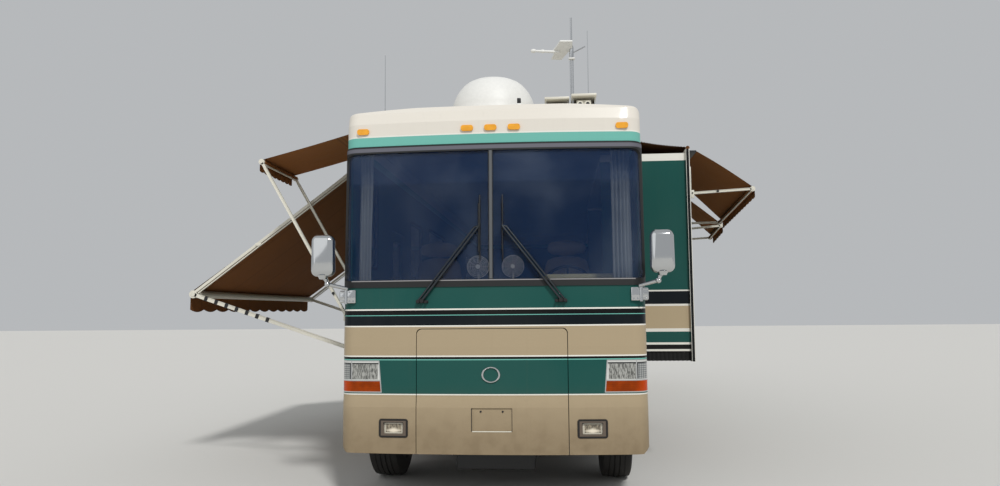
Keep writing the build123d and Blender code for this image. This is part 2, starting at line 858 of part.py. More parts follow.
def front_axle():
    """The forked axle beam with its two kingpins, seats and air springs."""
    beam_z = -10
    half = kingpin_x - 75
    beam = block(-half, half, -45, 45, beam_z - 55, beam_z + 45)
    for side in (-1, 1):
        for z0 in (78, -113):
            beam += block(side * (half - 40), side * (kingpin_x + 40), -42, 42, z0, z0 + 35)
        beam += block(side * (half - 40), side * half, -42, 42, -113, 113)
        beam += Pos(side * kingpin_x, 0, 0) * Cylinder(kingpin_radius, 226)
        top = rail_bottom - tyre_radius
        beam += Pos(side * (rail_x - 40), 0, (beam_z + 45 + top) / 2) * Cylinder(70, top - beam_z - 45)
    return at_axle(beam, front_axle_y)


def rear_axle():
    """The drive axle: tubes, differential housing, spindles and air springs."""
    inner = rear_track_x - dual_spacing / 2 - tyre_width / 2
    end = rear_track_x + dual_spacing / 2 + 30
    tube = Rot(Y=90) * Cylinder(75, 2 * (inner - 20))
    tube += Rot(Y=90) * Cylinder(spindle_radius + 10, 2 * end)
    tube += Rot(X=90) * Cylinder(190, 300)
    nose = Pos(0, -250, 0) * Rot(X=90) * Cylinder(80, 220)
    tube += nose
    for side in (-1, 1):
        top = rail_bottom - tyre_radius
        tube += block(side * (rail_x - 110), side * (rail_x + 30), -60, 60, 40, 110)
        tube += Pos(side * (rail_x - 40), 0, (110 + top) / 2) * Cylinder(75, top - 110)
    return at_axle(tube, rear_axle_y)


def bay_door(side, y0, y1):
    gap = panel_gap
    return block(side * (half_width - wall), side * half_width, y0 + gap, y1 - gap, bay_bottom + gap, bay_top - gap)


def entry_door():
    """The hinged entry door with its window hole and grab handle."""
    gap = panel_gap
    y0, y1 = door_front + gap, door_front + door_width - gap
    leaf = block(-half_width, -half_width + wall, y0, y1, door_bottom + gap, door_top - gap)
    m = door_window_margin
    hole = rounded(y0 + m, y1 - m, door_window_bottom, door_top - m, window_radius)
    leaf -= along_x(hole, -half_width - 1, -half_width + wall + 1)
    knob = block(-half_width - 22, -half_width, y1 - 90, y1 - 45, 1240, 1330)
    pane = along_x(
        rounded(y0 + m + seat_gap, y1 - m - seat_gap, door_window_bottom + seat_gap, door_top - m - seat_gap,
                window_radius), -half_width + 10, -half_width + 18,
    )
    return leaf + knob, pane


def slide_room():
    """The slide-out's box: floor, roof and end walls, open towards the cabin."""
    x0, x1 = slide_inner_x, half_width + slide_reach
    room = block(x0, x1, slide_front, slide_back, slide_bottom, slide_top)
    room -= block(
        x0 - 1, x1 + 1, slide_front + slide_wall, slide_back - slide_wall, slide_bottom + slide_floor,
        slide_top - slide_wall,
    )
    lip = fascia_lip
    face = block(
        x1, slide_face, slide_front - lip, slide_back + lip, slide_bottom - fascia_drop, slide_top + lip
    )
    for y0, y1, z0, z1 in slide_windows:
        face -= along_x(rounded(y0, y1, z0, z1, window_radius), x1 - 1, slide_face + 1)
    return room + face


def slide_trim_and_glass():
    """Frames and panes of the slide-out windows, and the roller of its topper."""
    frames, panes = [], []
    x1 = half_width + slide_reach
    for y0, y1, z0, z1 in slide_windows:
        ring = along_x(rounded(y0, y1, z0, z1, window_radius), x1, slide_face)
        ring += along_x(rounded(y0 - 10, y1 + 10, z0 - 10, z1 + 10, window_radius), slide_face, slide_face + frame_proud)
        w = window_frame
        ring -= along_x(rounded(y0 + w, y1 - w, z0 + w, z1 - w, window_radius - w * 0.6), x1 - 1, slide_face + 20)
        frames.append(ring)
        panes.append(along_x(rounded(y0 + w, y1 - w, z0 + w, z1 - w, window_radius - w * 0.6), slide_face - 20, slide_face - 12))
    return frames, panes


def topper_roller():
    """The roller of the slide-out's cover, on brackets over the outer wall."""
    x, z = topper_roller_x, topper_roller_z
    y0, y1 = slide_front + 20, slide_back - 20
    roller = rod((x, y0, z), (x, y1, z), topper_roller_radius)
    for y in (y0, y1 - topper_bracket):
        roller += block(x - 18, slide_face, y, y + topper_bracket, slide_top + fascia_lip, z)
    return roller


def topper_fabric():
    """The slide-out's cover, from the eave over to its roller."""
    x0 = topper_rail_x + topper_rail_width + seat_gap
    z1 = topper_roller_z + topper_roller_radius + fabric_lift + fabric_thickness / 2
    y0, y1 = slide_front + 25, slide_back - 25
    return bar((x0, topper_rail_z - 6), (topper_roller_x, z1), fabric_thickness, y0, y1)


def awning_frame(side, face, y0, span, out, ends, roller_radius, arm_width, rafter_z=0):
    """Roller, end arms and wall brackets of an awning. ends has the heights of the roller and of the
    arm's foot at the front end and at the rear end; rafter_z is where a rafter meets the wall."""
    x = side * (face + out)
    depth = arm_depth
    gap = depth + 4
    (z0, _), (z1, _) = ends
    pieces = [rod((x, y0 + gap, z0), (x, y0 + span - gap, z1), roller_radius)]
    for y, (z, foot_z) in zip((y0, y0 + span - depth), ends):
        foot_x = side * (face + bracket_depth * 0.6)
        end = rod((x, y, z), (x, y + depth, z), roller_radius + cap_rim)
        end += bar((x, z), (foot_x, foot_z), arm_width, y, y + depth)
        end += block(side * face, side * (face + bracket_depth), y - 6, y + depth + 6, foot_z - 50, foot_z + 30)
        if rafter_z:
            end += bar((x, z), (side * (face + 14), rafter_z), patio_rafter_width, y + 3, y + depth - 3)
            end += block(side * face, side * (face + 28), y - 4, y + depth + 4, rafter_z - 60, rafter_z + 20)
        pieces.append(end)
    return pieces


def awning_fabric(side, face, rail_z, y0, span, out, ends, roller_radius, valance, rail_depth=awning_rail_depth):
    """An awning's cloth with its wall rail, and its valance."""
    margin = arm_depth + 12
    lift = roller_radius + fabric_lift + fabric_thickness
    half = awning_rail_height / 2
    edge = face + rail_depth
    drop_x = face + out + roller_radius + valance_gap
    cloths, drops = [], []
    for roller_z, _ in ends:
        slope = math.atan2(rail_z - roller_z, face + out - edge)
        x1, z1 = face + out + lift * math.sin(slope), roller_z + lift * math.cos(slope)
        top = [(edge - 6, rail_z + 8), (edge, rail_z + 8), (x1, z1)]
        strip = top + [(x, z - fabric_thickness) for x, z in reversed(top)]
        cloths.append([(side * x, z) for x, z in strip])
        x2 = drop_x + fabric_thickness
        drop = [(drop_x, roller_z), (x2, roller_z), (x2, roller_z - valance), (drop_x, roller_z - valance)]
        drops.append([(side * x, z) for x, z in drop])
    rail = block(side * face, side * edge, y0, y0 + span, rail_z - half, rail_z + half)
    a, b = y0 + margin, y0 + span - margin
    return [rail + between(*cloths, a, b), between(*drops, a, b)]


def patio_awning():
    ends = [(patio_roller_z, patio_arm_foot_z)] * 2
    place = (-1, half_width)
    frame = awning_frame(*place, patio_front, patio_length, patio_out, ends, patio_roller_radius, patio_arm_width,
                         patio_rafter_z)
    cloth = awning_fabric(*place, patio_rail_z, patio_front, patio_length, patio_out, ends, patio_roller_radius,
                          patio_valance)
    return frame, cloth


def window_awning():
    ends = [(window_awning_roller_z, window_awning_foot_z)] * 2
    span = (window_awning_front, window_awning_length, window_awning_out, ends, small_roller_radius)
    frame = awning_frame(-1, half_width, *span, small_arm_width)
    cloth = awning_fabric(-1, half_width, window_awning_rail_z, *span, small_valance)
    return frame, cloth


def slide_window_awnings():
    frame, cloth = [], []
    for y0, length_y, out, rail_z, *ends in slide_awnings:
        span = (y0, length_y, out, ends, small_roller_radius)
        frame += awning_frame(1, slide_face, *span, small_arm_width)
        cloth += awning_fabric(1, slide_face, rail_z, *span, small_valance, slide_case_depth)
    return frame, cloth


def mirrors():
    """Two bright mirror heads on bent arms from brackets on the front corners."""
    pieces = []
    for side in (-1, 1):
        x0, x1 = side * (mirror_x - mirror_width / 2), side * (mirror_x + mirror_width / 2)
        y0, y1 = mirror_y - mirror_depth / 2, mirror_y + mirror_depth / 2
        head = block(x0, x1, y0, y1, mirror_bottom, mirror_bottom + mirror_height)
        head = fillet(head.edges(), mirror_radius)
        half = mirror_bracket_height / 2
        bracket_x = half_width + 20
        elbow = (side * (mirror_x - 34), mirror_y + 10, mirror_bracket_z + 103)
        arm = rod((side * (bracket_x - 75), 60, mirror_bracket_z + half + 10), elbow, mirror_arm_radius)
        arm += Pos(*elbow) * Sphere(mirror_arm_radius)
        arm += rod(elbow, (side * mirror_x, mirror_y, mirror_bottom + 40), mirror_arm_radius)
        bracket = block(
            side * (bracket_x - mirror_bracket_width), side * bracket_x, 55, 200,
            mirror_bracket_z - half, mirror_bracket_z + half,
        )
        pieces.append((head + arm + bracket) - front_clear)
    return pieces


def wipers():
    """Two parked wipers: a pair of thin rods from each pivot, and an upright blade."""
    pieces = []
    for side in (-1, 1):
        def on_glass(x, z, off):
            return (side * x, front_y(x, z) - off, z)

        pivot = on_glass(wiper_pivot_x, wiper_pivot_z, wiper_stand_off)
        tip = on_glass(wiper_tip_x, wiper_tip_z, wiper_stand_off + 6)
        second = on_glass(wiper_pivot_x + wiper_rod_spacing, wiper_pivot_z - 4, wiper_stand_off)
        second_tip = on_glass(wiper_tip_x + wiper_rod_spacing, wiper_tip_z - 4, wiper_stand_off + 6)
        low = on_glass(wiper_tip_x, wiper_blade_bottom, 20)
        high = on_glass(wiper_tip_x, wiper_blade_top, 20)
        arm = rod(pivot, tip, wiper_rod_radius) + rod(second, second_tip, wiper_rod_radius * 0.8)
        arm += rod(low, high, 9)
        arm += rod(tip, second_tip, 9)
        for p in (pivot, second):
            arm += rod((p[0], p[1] - 12, p[2]), (p[0], p[1] + 120, p[2]), 16)
        pieces.append(arm - front_solid(-seat_gap) - windshield_keep_out)
    return pieces


def dashboard():
    """The dash with its firewall and instrument hood, the steering wheel, and two fans on stalks."""
    foot = floor_top + seat_gap
    profile = [
        (dash_front, foot), (dash_front, dash_top - 40), (dash_front + 90, dash_top),
        (dash_back - 120, dash_top - 20), (dash_back, dash_top - 140), (dash_back - 60, dash_top - 380),
        (dash_front + 110, floor_top + 380), (dash_front + 110, foot),
    ]
    side = half_width - wall - seat_gap
    dash = along_x(make_face(Polyline(*profile, close=True)), -side, side)
    x = seat_x
    hood = [
        (dash_back - 190, dash_top - 60), (dash_back - 170, dash_top + 70), (dash_back + 10, dash_top + 40),
        (dash_back - 10, dash_top - 160),
    ]
    dash += along_x(make_face(Polyline(*hood, close=True)), x - 230, x + 230)
    top = (x, dash_back + 90, dash_top + 20)
    tilt = Plane(origin=top, z_dir=(0, 210, 170))
    wheel = revolve(Plane.XZ * Pos(steering_wheel_radius, 0) * RegularPolygon(14, 8), Axis.Z) + Cylinder(48, 30)
    for i in range(3):
        a = math.radians(90 + 120 * i)
        reach = steering_wheel_radius - 4
        wheel += rod((0, 0, 0), (reach * math.cos(a), reach * math.sin(a), 0), 9)
    pieces = [dash, tilt * wheel]
    column = rod((x, dash_back - 80, dash_top - 118), top, 26) - dash - tilt * Cylinder(49, 31)
    pieces.append(column)
    for s in (-1, 1):
        fan_y = dash_front + 60
        fan = Pos(s * fan_x, fan_y, fan_z) * Rot(X=90) * Cylinder(fan_radius, 34)
        fan += Pos(s * fan_x, fan_y + 30, fan_z) * Rot(X=90) * Cylinder(38, 50)
        fan += rod((s * fan_x, fan_y + 40, dash_top + seat_gap), (s * fan_x, fan_y + 40, fan_z), 10)
        pieces.append(fan)
    return pieces


def seats():
    """Two armchair seats on pedestals."""
    pieces = []
    for side in (-1, 1):
        x, y = side * seat_x, seat_y
        seat = block(x - 250, x + 250, y, y + 480, floor_top + 330, floor_top + 450)
        seat += block(x - 230, x + 230, y + 430, y + 560, floor_top + 400, floor_top + 1120)
        seat += Pos(x, y + 260, floor_top + 165) * Cylinder(120, 330)
        for s in (-1, 1):
            seat += block(x + s * 250, x + s * 310, y + 80, y + 470, floor_top + 540, floor_top + 600)
            seat += block(x + s * 250, x + s * 300, y + 400, y + 450, floor_top + 380, floor_top + 545)
        pieces.append(seat)
    return pieces


def curtains():
    """Gathered curtains that hang inside the corners of the windshield."""
    pieces = []
    for side in (-1, 1):
        layer = front_solid(wall + 30, 60) - front_solid(wall + 90, 60)
        region = block(side * curtain_inner_x, side * half_width, -10, front_cap_end - 10, glass_bottom - 10, glass_top + 20)
        pieces.append(layer & region)
    return pieces


def satellite_dome():
    """A white radome with steep sides and a flat-topped crown."""
    r, h = dome_radius, dome_height
    shares = [(1, 0), (1, 0.28), (0.985, 0.46), (0.94, 0.62), (0.84, 0.78), (0.66, 0.9), (0.4, 0.975), (0, 1)]
    side = [(r * u, h * v) for u, v in shares]
    shape = revolve(Plane.XZ * make_face(Polyline((0, 0), *side, close=True)), Axis.Z)
    return Pos(dome_x, dome_y, roof_top - 10) * shape - roof_keep_out


def roof_horns():
    """Two covered air horns, two whip aerials and the base of the television mast."""
    pieces = []
    for s in (-1, 1):
        x = horn_x + s * horn_spacing / 2
        y = horn_y - s * 40
        box = block(x - horn_width / 2, x + horn_width / 2, y, y + horn_length, roof_top - 45, roof_top + horn_height)
        box -= block(x - horn_width / 2 + 12, x + horn_width / 2 - 12, y - 1, y + 120, roof_top + 22, roof_top + horn_height - 20)
        box += block(x - horn_width / 2 - 15, x + horn_width / 2 + 15, y - 70, y + horn_length, roof_top + horn_height, roof_top + horn_height + 10)
        bell = Pos(x, y + 60, roof_top + 66) * Rot(X=90) * Cone(22, 42, 120)
        box += bell
        pieces.append(box - roof_keep_out)
    for x, y, height in whips:
        base = Pos(x, y, roof_top) * Cylinder(18, 130)
        base += rod((x, y, roof_top), (x, y, roof_top + height), whip_radius)
        base += rod((x, y, roof_top), (x, y, roof_top + 110), 9)
        pieces.append(base - roof_keep_out)
    base = block(mast_x - 70, mast_x + 70, mast_y - 60, mast_y + 120, roof_top - 30, roof_top + 40)
    for s in (-1, 1):
        base += block(mast_x + s * 26, mast_x + s * 40, mast_y - 40, mast_y + 40, roof_top + 30, roof_top + 110)
    pieces.append(base - roof_keep_out)
    return pieces


def antenna_mast():
    """The television antenna: a lifting mast with a swept two-wing head and a pole on top."""
    z0 = roof_top + 75
    top = z0 + mast_length
    mast = block(mast_x - 19, mast_x + 19, mast_y - mast_tube / 2, mast_y + mast_tube / 2, z0 - 28, z0 + 60)
    for s in (-1, 1):
        mast += rod((mast_x + s * 11, mast_y, z0), (mast_x + s * 11, mast_y, top), 8)
    mast += Pos(mast_x, mast_y, top) * Cylinder(34, 90)
    mast += rod((mast_x, mast_y, top), (mast_x, mast_y, top + mast_pole_length), 9)
    hub_z = top + 60
    wing = [(0, -70), (-110, -60), (-400, -20), (-410, 20), (-110, 60), (0, 70)]
    head = along_z(make_face(Polyline(*wing, close=True)), -14, 14)
    mast += Pos(mast_x, mast_y, hub_z) * Rot(X=18, Z=8) * head
    for sweep in (-52, 52):
        blade = along_z(make_face(Polyline((-30, -45), (-280, -25), (-280, 25), (-30, 45), close=True)), -7, 7)
        mast += Pos(mast_x, mast_y, hub_z) * Rot(X=18, Z=sweep) * blade
    return mast


def roof_units():
    """Two air conditioners and two roof vents, as closed moulded covers."""
    pieces = []
    for y in conditioner_ys:
        half = conditioner_width / 2
        body = block(-half, half, y, y + conditioner_length, roof_top + 20, roof_top + conditioner_height)
        upper = body.edges().group_by(Axis.Z)[-1]
        body = chamfer(upper, 60)
        base = block(-half + 60, half - 60, y + 60, y + conditioner_length - 60, roof_top - 60, roof_top + 20)
        pieces.append((body + base) - roof_keep_out)
    for y in vent_ys:
        half = vent_size / 2
        pieces.append(block(-half, half, y, y + vent_size, roof_top - 40, roof_top + vent_height) - roof_keep_out)
    return pieces


roof_keep_out = front_clear + along_y(outline(-seat_gap, side_top), front_cap_end, rear_cap_start)
windshield_keep_out = front_solid(-gasket_proud - 3) & block(-big, big, -big, 350, glass_bottom - 20, glass_top + 20)


def moved(shape):
    """From the coach frame to the part's origin."""
    return Pos(shift_x, shift_y, 0) * shape


def as_list(shape):
    return list(shape) if isinstance(shape, (list, tuple)) else [shape]


def write(name, *shapes):
    solids = [moved(s) for shape in shapes for piece in as_list(shape) for s in piece.solids()]
    whole = Compound(children=solids) if len(solids) > 1 else solids[0]
    export_step(whole, f"parts/{name}.step")
    print(name, len(solids), [round(v) for v in whole.bounding_box().size])


def main():
    os.makedirs("parts", exist_ok=True)
    write("front_cap", front_cap())
    write("front_access_panel", front_panel())
    write("windshield", windshield())
    write("windshield_frame", windshield_frame())
    write("headlamps", headlamps())
    write("lamp_frames", lamp_frames())
    write("marker_lamps", marker_lamps())
    write("wall_driver_side", side_wall(1))
    write("wall_kerb_side", side_wall(-1))
    write("roof", roof_shell())
    write("rear_cap", rear_cap())
    write("engine_hatch", engine_hatch())
    write("tail_lamps", tail_lamps())
    write("ladder", ladder())
    write("floor", floor())
    write("chassis", chassis())
    write("engine", block(-engine_width / 2, engine_width / 2, engine_back - engine_length, engine_back,
                          engine_bottom, engine_bottom + engine_height))
    frames, panes = side_frames_and_glass()
    write("side_window_frames", frames)
    write("side_glass", panes)
    write("front_axle", front_axle())
    write("rear_axle", rear_axle())
    for side, name in ((1, "left"), (-1, "right")):
        rubber, metal = front_wheel(side)
        write(f"front_tyre_{name}", rubber)
        write(f"front_rim_{name}", metal)
        rubber, metal = rear_wheels(side)
        write(f"rear_tyres_{name}", rubber)
        write(f"rear_rims_{name}", metal)
        write(f"knuckle_{name}", knuckle(side))
        for i, (y0, y1) in enumerate(bay_spans()):
            write(f"bay_door_{name}_{i + 1}", bay_door(side, y0, y1))
    leaf, pane = entry_door()
    write("entry_door", leaf)
    write("entry_door_glass", pane)
    write("slide_room", slide_room())
    frames, panes = slide_trim_and_glass()
    write("slide_window_frames", frames + [topper_roller()])
    write("slide_glass", panes)
    write("topper_fabric", topper_fabric())
    frame, cloth = patio_awning()
    write("patio_awning_frame", frame)
    write("patio_awning_fabric", cloth)
    frame, cloth = window_awning()
    write("window_awning_frame", frame)
    write("window_awning_fabric", cloth)
    frame, cloth = slide_window_awnings()
    write("slide_awning_frames", frame)
    write("slide_awning_fabric", cloth)
    write("mirrors", mirrors())
    write("wipers", wipers())
    write("dashboard", dashboard())
    write("seats", seats())
    write("curtains", curtains())
    write("satellite_dome", satellite_dome())
    write("roof_horns", roof_horns())
    write("antenna_mast", antenna_mast())
    write("roof_units", roof_units())


main()
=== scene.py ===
import math

import bmesh
import bpy
from mathutils import Matrix, Vector


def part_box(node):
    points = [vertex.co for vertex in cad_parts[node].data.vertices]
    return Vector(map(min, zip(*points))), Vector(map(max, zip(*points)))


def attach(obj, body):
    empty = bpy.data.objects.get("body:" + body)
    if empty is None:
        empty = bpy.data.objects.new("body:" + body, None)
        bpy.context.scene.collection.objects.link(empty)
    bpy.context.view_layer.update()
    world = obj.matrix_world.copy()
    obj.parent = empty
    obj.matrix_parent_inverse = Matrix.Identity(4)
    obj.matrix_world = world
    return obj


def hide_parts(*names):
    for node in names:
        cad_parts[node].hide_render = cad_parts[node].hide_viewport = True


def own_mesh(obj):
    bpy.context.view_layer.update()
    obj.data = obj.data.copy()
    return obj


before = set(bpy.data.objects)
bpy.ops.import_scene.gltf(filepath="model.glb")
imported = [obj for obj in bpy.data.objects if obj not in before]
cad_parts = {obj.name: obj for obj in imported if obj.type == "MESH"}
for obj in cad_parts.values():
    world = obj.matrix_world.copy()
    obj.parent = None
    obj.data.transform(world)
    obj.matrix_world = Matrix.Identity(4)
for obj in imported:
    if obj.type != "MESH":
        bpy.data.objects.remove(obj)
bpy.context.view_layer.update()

# places: the coach frame has x to the driver's side of the centre line, y back from the front, z up
capLow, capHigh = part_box("front_cap")
centreX = (capLow.x + capHigh.x) / 2
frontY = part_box("front_access_panel")[0].y  # the front plane, at the bumper
half = (capHigh.x - capLow.x) / 2
slideFace = 1.890
roofTop = capHigh.z


def place(x, y, z):  # from the coach frame to the row frame
    return Vector((x + centreX, y + frontY, z))


# the front: a wide arc between round corners, a step over the bumper, and a lean above the lamps
front = {"arc": 12.0, "corner": 0.130, "step": 0.014, "stepFrom": 0.76, "stepRise": 0.085, "lean": 0.090,
         "leanFrom": 1.25, "brow": 0.170}


def leanY(z):
    return front["lean"] * max(0.0, z - front["leanFrom"]) / (roofTop - front["brow"] - front["leanFrom"])


def skinY(x, z):  # where the front's skin lies
    f = front
    arc = f["arc"] - math.sqrt(f["arc"] ** 2 - x * x)
    turn = max(0.0, abs(x) - (half - f["corner"]))
    corner = f["corner"] - math.sqrt(f["corner"] ** 2 - turn ** 2)
    return arc + corner + f["step"] * min(1.0, max(0.0, (z - f["stepFrom"]) / f["stepRise"])) + leanY(z)


def rgb(code):  # a written colour in scene-linear light
    parts = [int(code[i:i + 2], 16) / 255 for i in (1, 3, 5)]
    return tuple(c / 12.92 if c < 0.04045 else ((c + 0.055) / 1.055) ** 2.4 for c in parts) + (1.0,)


# shader maths
class Sig:
    def __init__(self, tree, sock):
        self.tree, self.sock = tree, sock

    def op(self, kind, a, b):
        return self.tree.add("Math", {"operation": kind}, {0: a, 1: b})

    def __add__(self, other):
        return self.op("ADD", self, other)

    __radd__ = __add__

    def __sub__(self, other):
        return self.op("SUBTRACT", self, other)

    def __rsub__(self, other):
        return self.op("SUBTRACT", other, self)

    def __mul__(self, other):
        return self.op("MULTIPLY", self, other)

    __rmul__ = __mul__

    def __gt__(self, other):
        return self.op("GREATER_THAN", self, other)

    def __lt__(self, other):
        return self.op("LESS_THAN", self, other)

    def __abs__(self):
        return self.op("ABSOLUTE", self, 0.0)


class Tree:
    def __init__(self, name):
        self.mat = bpy.data.materials.new(name)
        self.mat.use_nodes = True
        self.nodes = self.mat.node_tree.nodes
        self.nodes.clear()

    def add(self, kind, settings=None, sockets=None, out=0):
        node = self.nodes.new("ShaderNode" + kind)
        for key, value in (settings or {}).items():
            setattr(node, key, value)
        for key, value in (sockets or {}).items():
            if isinstance(value, Sig):
                self.mat.node_tree.links.new(value.sock, node.inputs[key])
            else:
                node.inputs[key].default_value = rgb(value) if isinstance(value, str) else value
        return Sig(self, node.outputs[out] if node.outputs else None)

    def coords(self, scale):
        where = self.add("TexCoord", out=3)
        return self.add("Mapping", None, {"Vector": where, "Scale": scale})

    def axes(self):  # in the coach frame
        split = self.add("SeparateXYZ", None, {0: self.add("TexCoord", out=3)})
        outs = split.sock.node.outputs
        return Sig(self, outs[0]) - centreX, Sig(self, outs[1]) - frontY, Sig(self, outs[2])

    def noise(self, scale, detail, vector=None):
        return self.add("TexNoise", None, {
            "Vector": vector or self.add("TexCoord", out=3), "Scale": scale, "Detail": detail})

    def wave(self, period, along, distortion=0.0):  # stripes at a real pitch in metres
        return self.add("TexWave", {"bands_direction": along}, {
            "Vector": self.add("TexCoord", out=3), "Scale": math.tau / 20 / period,
            "Distortion": distortion}, out=1)

    def mix(self, share, a, b):
        return self.add("Mix", {"data_type": "RGBA"}, {0: share, 6: a, 7: b}, out=2)

    def span(self, value, low, high, toLow=0.0, toHigh=1.0):
        return self.add("MapRange", {"interpolation_type": "SMOOTHSTEP"}, {
            0: value, 1: low, 2: high, 3: toLow, 4: toHigh})

    def bump(self, height, strength, distance):
        return self.add("Bump", None, {"Strength": strength, "Distance": distance, "Height": height})

    def surface(self, **sockets):
        named = {key.replace("_", " "): value for key, value in sockets.items()}
        shader = self.add("BsdfPrincipled", None, named)
        self.add("OutputMaterial", None, {0: shader})
        return self.mat


def toned(colour, by):
    return tuple(min(1.0, c * by) for c in rgb(colour)[:3]) + (1.0,)


def within(value, span):  # 1 between a (low, high) pair, else 0
    return (value > span[0]) * (value < span[1])


# finishes
paints = {
    "tan": "#a9987c", "green": "#174e48", "teal": "#6fb5a8", "black": "#050f16",
    "ink": "#04080a", "white": "#e6e3da", "cap": "#ded8cd", "tray": "#0b0c0d",
    # slideTanLit: the body's tan made lighter for the slide, painted light against the shade the slide sits
    # in
    "edge": "#17191a", "slideTanLit": "#b4a284",
}
# stripes, from the ground up: the height where each colour starts
coachStripes = [
    # from 1.142 a thin teal line is a painted highlight, and the ink band from 1.150 is painted shade in the
    # gap under the white line
    (0.858, "white"), (0.868, "green"), (1.142, "teal"), (1.150, "ink"), (1.169, "white"), (1.180, "tan"),
    (1.416, "white"), (1.427, "black"), (1.508, "teal"), (1.514, "ink"), (1.553, "white"), (1.565, "green"),
    (2.963, "teal"), (3.043, "white"), (3.055, "cap"),
]
slideStripes = [
    (1.115, "white"), (1.150, "tray"), (1.195, "white"), (1.217, "green"), (1.323, "white"),
    # the slide's tan band is lighter than the body's tan, painted light
    (1.355, "slideTanLit"), (1.578, "white"), (1.598, "black"), (1.724, "white"), (1.738, "green"),
    (3.046, "white"),
]
# the side stripes climb behind the front corners, and the band under the roof stays level
stripeRise = {"start": 0.50, "end": 1.48, "rise": 0.165, "fade": (1.95, 2.45)}
# dustAndShade: darker and browner towards the bottom, from dust and from painted shade where the lower
# surfaces turn under
dustAndShade = {"dustAndShadeNone": 0.98, "dustAndShadeFull": 0.38, "most": 0.66, "colour": "#6b5a43"}
# the front edge of the slide's trim is dark between two bright lines
trimEdge = {"x": 1.852, "y": 1.462, "inner": 1.858, "outer": 1.884}


def stripedPaint(name, stripes, base, rise=0.0):
    t = Tree(name)
    x, y, z = t.axes()
    climb = t.span(y, stripeRise["start"], stripeRise["end"], 0.0, rise)
    height = z - climb * t.span(z, *stripeRise["fade"], 1.0, 0.0)
    colour = paints[base]
    for start, key in stripes:
        colour = t.mix(height > start, colour, paints[key])
    flake = t.noise(700.0, 1.0)
    tone = t.span(t.noise(1.7, 2.0) * 0.7 + flake * 0.3, 0.3, 0.7)
    colour = t.mix(tone * 0.012, colour, "#d8cfbd")
    if base == "tray":
        side = (x > trimEdge["x"]) * (y < trimEdge["y"])
        lines = ((x < trimEdge["inner"]) + (x > trimEdge["outer"])) * side
        colour = t.mix(lines, t.mix(side, colour, paints["edge"]), paints["white"])
    # dust here is dust and painted shade together, growing towards the bottom
    dust = t.span(z, dustAndShade["dustAndShadeFull"], dustAndShade["dustAndShadeNone"], dustAndShade["most"], 0.0)
    dust = dust * t.span(t.noise(9.0, 4.0), 0.35, 0.75, 0.74, 1.0)
    streaks = t.span(t.noise(1.0, 3.0, t.coords((24, 24, 0.7))), 0.55, 0.8, 0.0, 0.03)
    return t.surface(Base_Color=t.mix(dust + streaks, colour, dustAndShade["colour"]),
                     Roughness=0.30 + dust * 0.5 + flake * 0.05, Specular_IOR_Level=0.12,
                     Coat_Weight=0.12, Coat_Roughness=0.04)


def plain(name, colour, rough, grain, metal=0.0, depth=0.05, vary=0.12):
    t = Tree(name)
    fine = t.noise(grain, 4.0)
    shade = t.span(fine * 0.5 + t.noise(2.3, 3.0) * 0.5, 0.25, 0.75)
    return t.surface(Base_Color=t.mix(shade, toned(colour, 1 - vary), toned(colour, 1 + vary * 0.5)),
                     Roughness=rough * 0.85 + fine * (rough * 0.3), Metallic=metal,
                     Normal=t.bump(fine, depth, 0.002))


# a grey band over the glass, a thin bright line under it that is a painted highlight, and a grey centre bar
# with dark edges
gasketLook = {"band": (2.912, 2.945), "line": (1.795, 1.803), "highlightEnd": 1.19, "bar": (1.81, 2.895),
              "barHalf": 0.018, "barEdge": 0.011}


def gasketRubber(name):
    g = gasketLook
    t = Tree(name)
    x, _, z = t.axes()
    fine = t.noise(200.0, 3.0)
    bar = (abs(x) < g["barHalf"]) * within(z, g["bar"])
    colour = t.mix(within(z, g["band"]), "#0f1011", "#5f5f68")
    # the thin bright line under the glass is a painted highlight
    colour = t.mix(within(z, g["line"]) * (abs(x) < g["highlightEnd"]), colour, "#8f8c8c")
    colour = t.mix(bar, colour, "#56585a")
    colour = t.mix(bar * (abs(x) > g["barEdge"]), colour, "#232526")
    return t.surface(Base_Color=colour, Roughness=0.45 + fine * 0.15, Normal=t.bump(fine, 0.05, 0.001))


def tyreRubber(name):
    t = Tree(name)
    grit = t.noise(160.0, 4.0)
    dust = t.span(t.axes()[2], 0.0, 0.35, 0.5, 0.12) * t.noise(14.0, 3.0)
    return t.surface(Base_Color=t.mix(dust, "#1b1b1c", "#4a443b"), Roughness=0.72 + grit * 0.2,
                     Normal=t.bump(grit, 0.25, 0.0015))


def brightMetal(name, colour, rough, brush=0.0):
    t = Tree(name)
    smear = t.noise(24.0, 4.0)
    line = t.noise(4.0, 2.0, t.coords((8, 8, 300)))
    return t.surface(Base_Color=t.mix(smear * 0.25, colour, toned(colour, 0.8)), Metallic=1.0,
                     Roughness=rough * 0.7 + smear * (rough * 0.6) + line * brush)


def glass(name, tint, alpha, reflectionFilm):  # a painted reflection of clouds as a film, and a darker sun band along the top
    t = Tree(name)
    # a painted reflection of clouds, mixed into the tint
    cloudReflection = t.span(t.noise(1.1, 4.0), 0.42, 0.68)
    shade = t.span(t.axes()[2], 2.60, 2.66, 0.0, 0.12)
    return t.surface(Base_Color=t.mix(cloudReflection * reflectionFilm, tint, "#76849a"), Roughness=0.02 + cloudReflection * 0.02,
                     Alpha=alpha + shade, Specular_IOR_Level=0.3)


# the head lamps stand above the fog lamps; joint is the dark line before the squared side lens
headLook = {"over": 0.75, "inner": 0.952, "joint": (1.178, 1.192), "lens": (0.984, 1.120),
            "shadow": (1.109, 1.120)}
# half sizes of the fog lamp's lens, of its dark rim and of the tan step round it
fogLook = {"x": 0.813, "z": 0.591, "fogHighlightZ": 0.572, "lens": (0.066, 0.034), "rim": (0.084, 0.048),
           "step": (0.105, 0.060), "rimOver": 0.620}


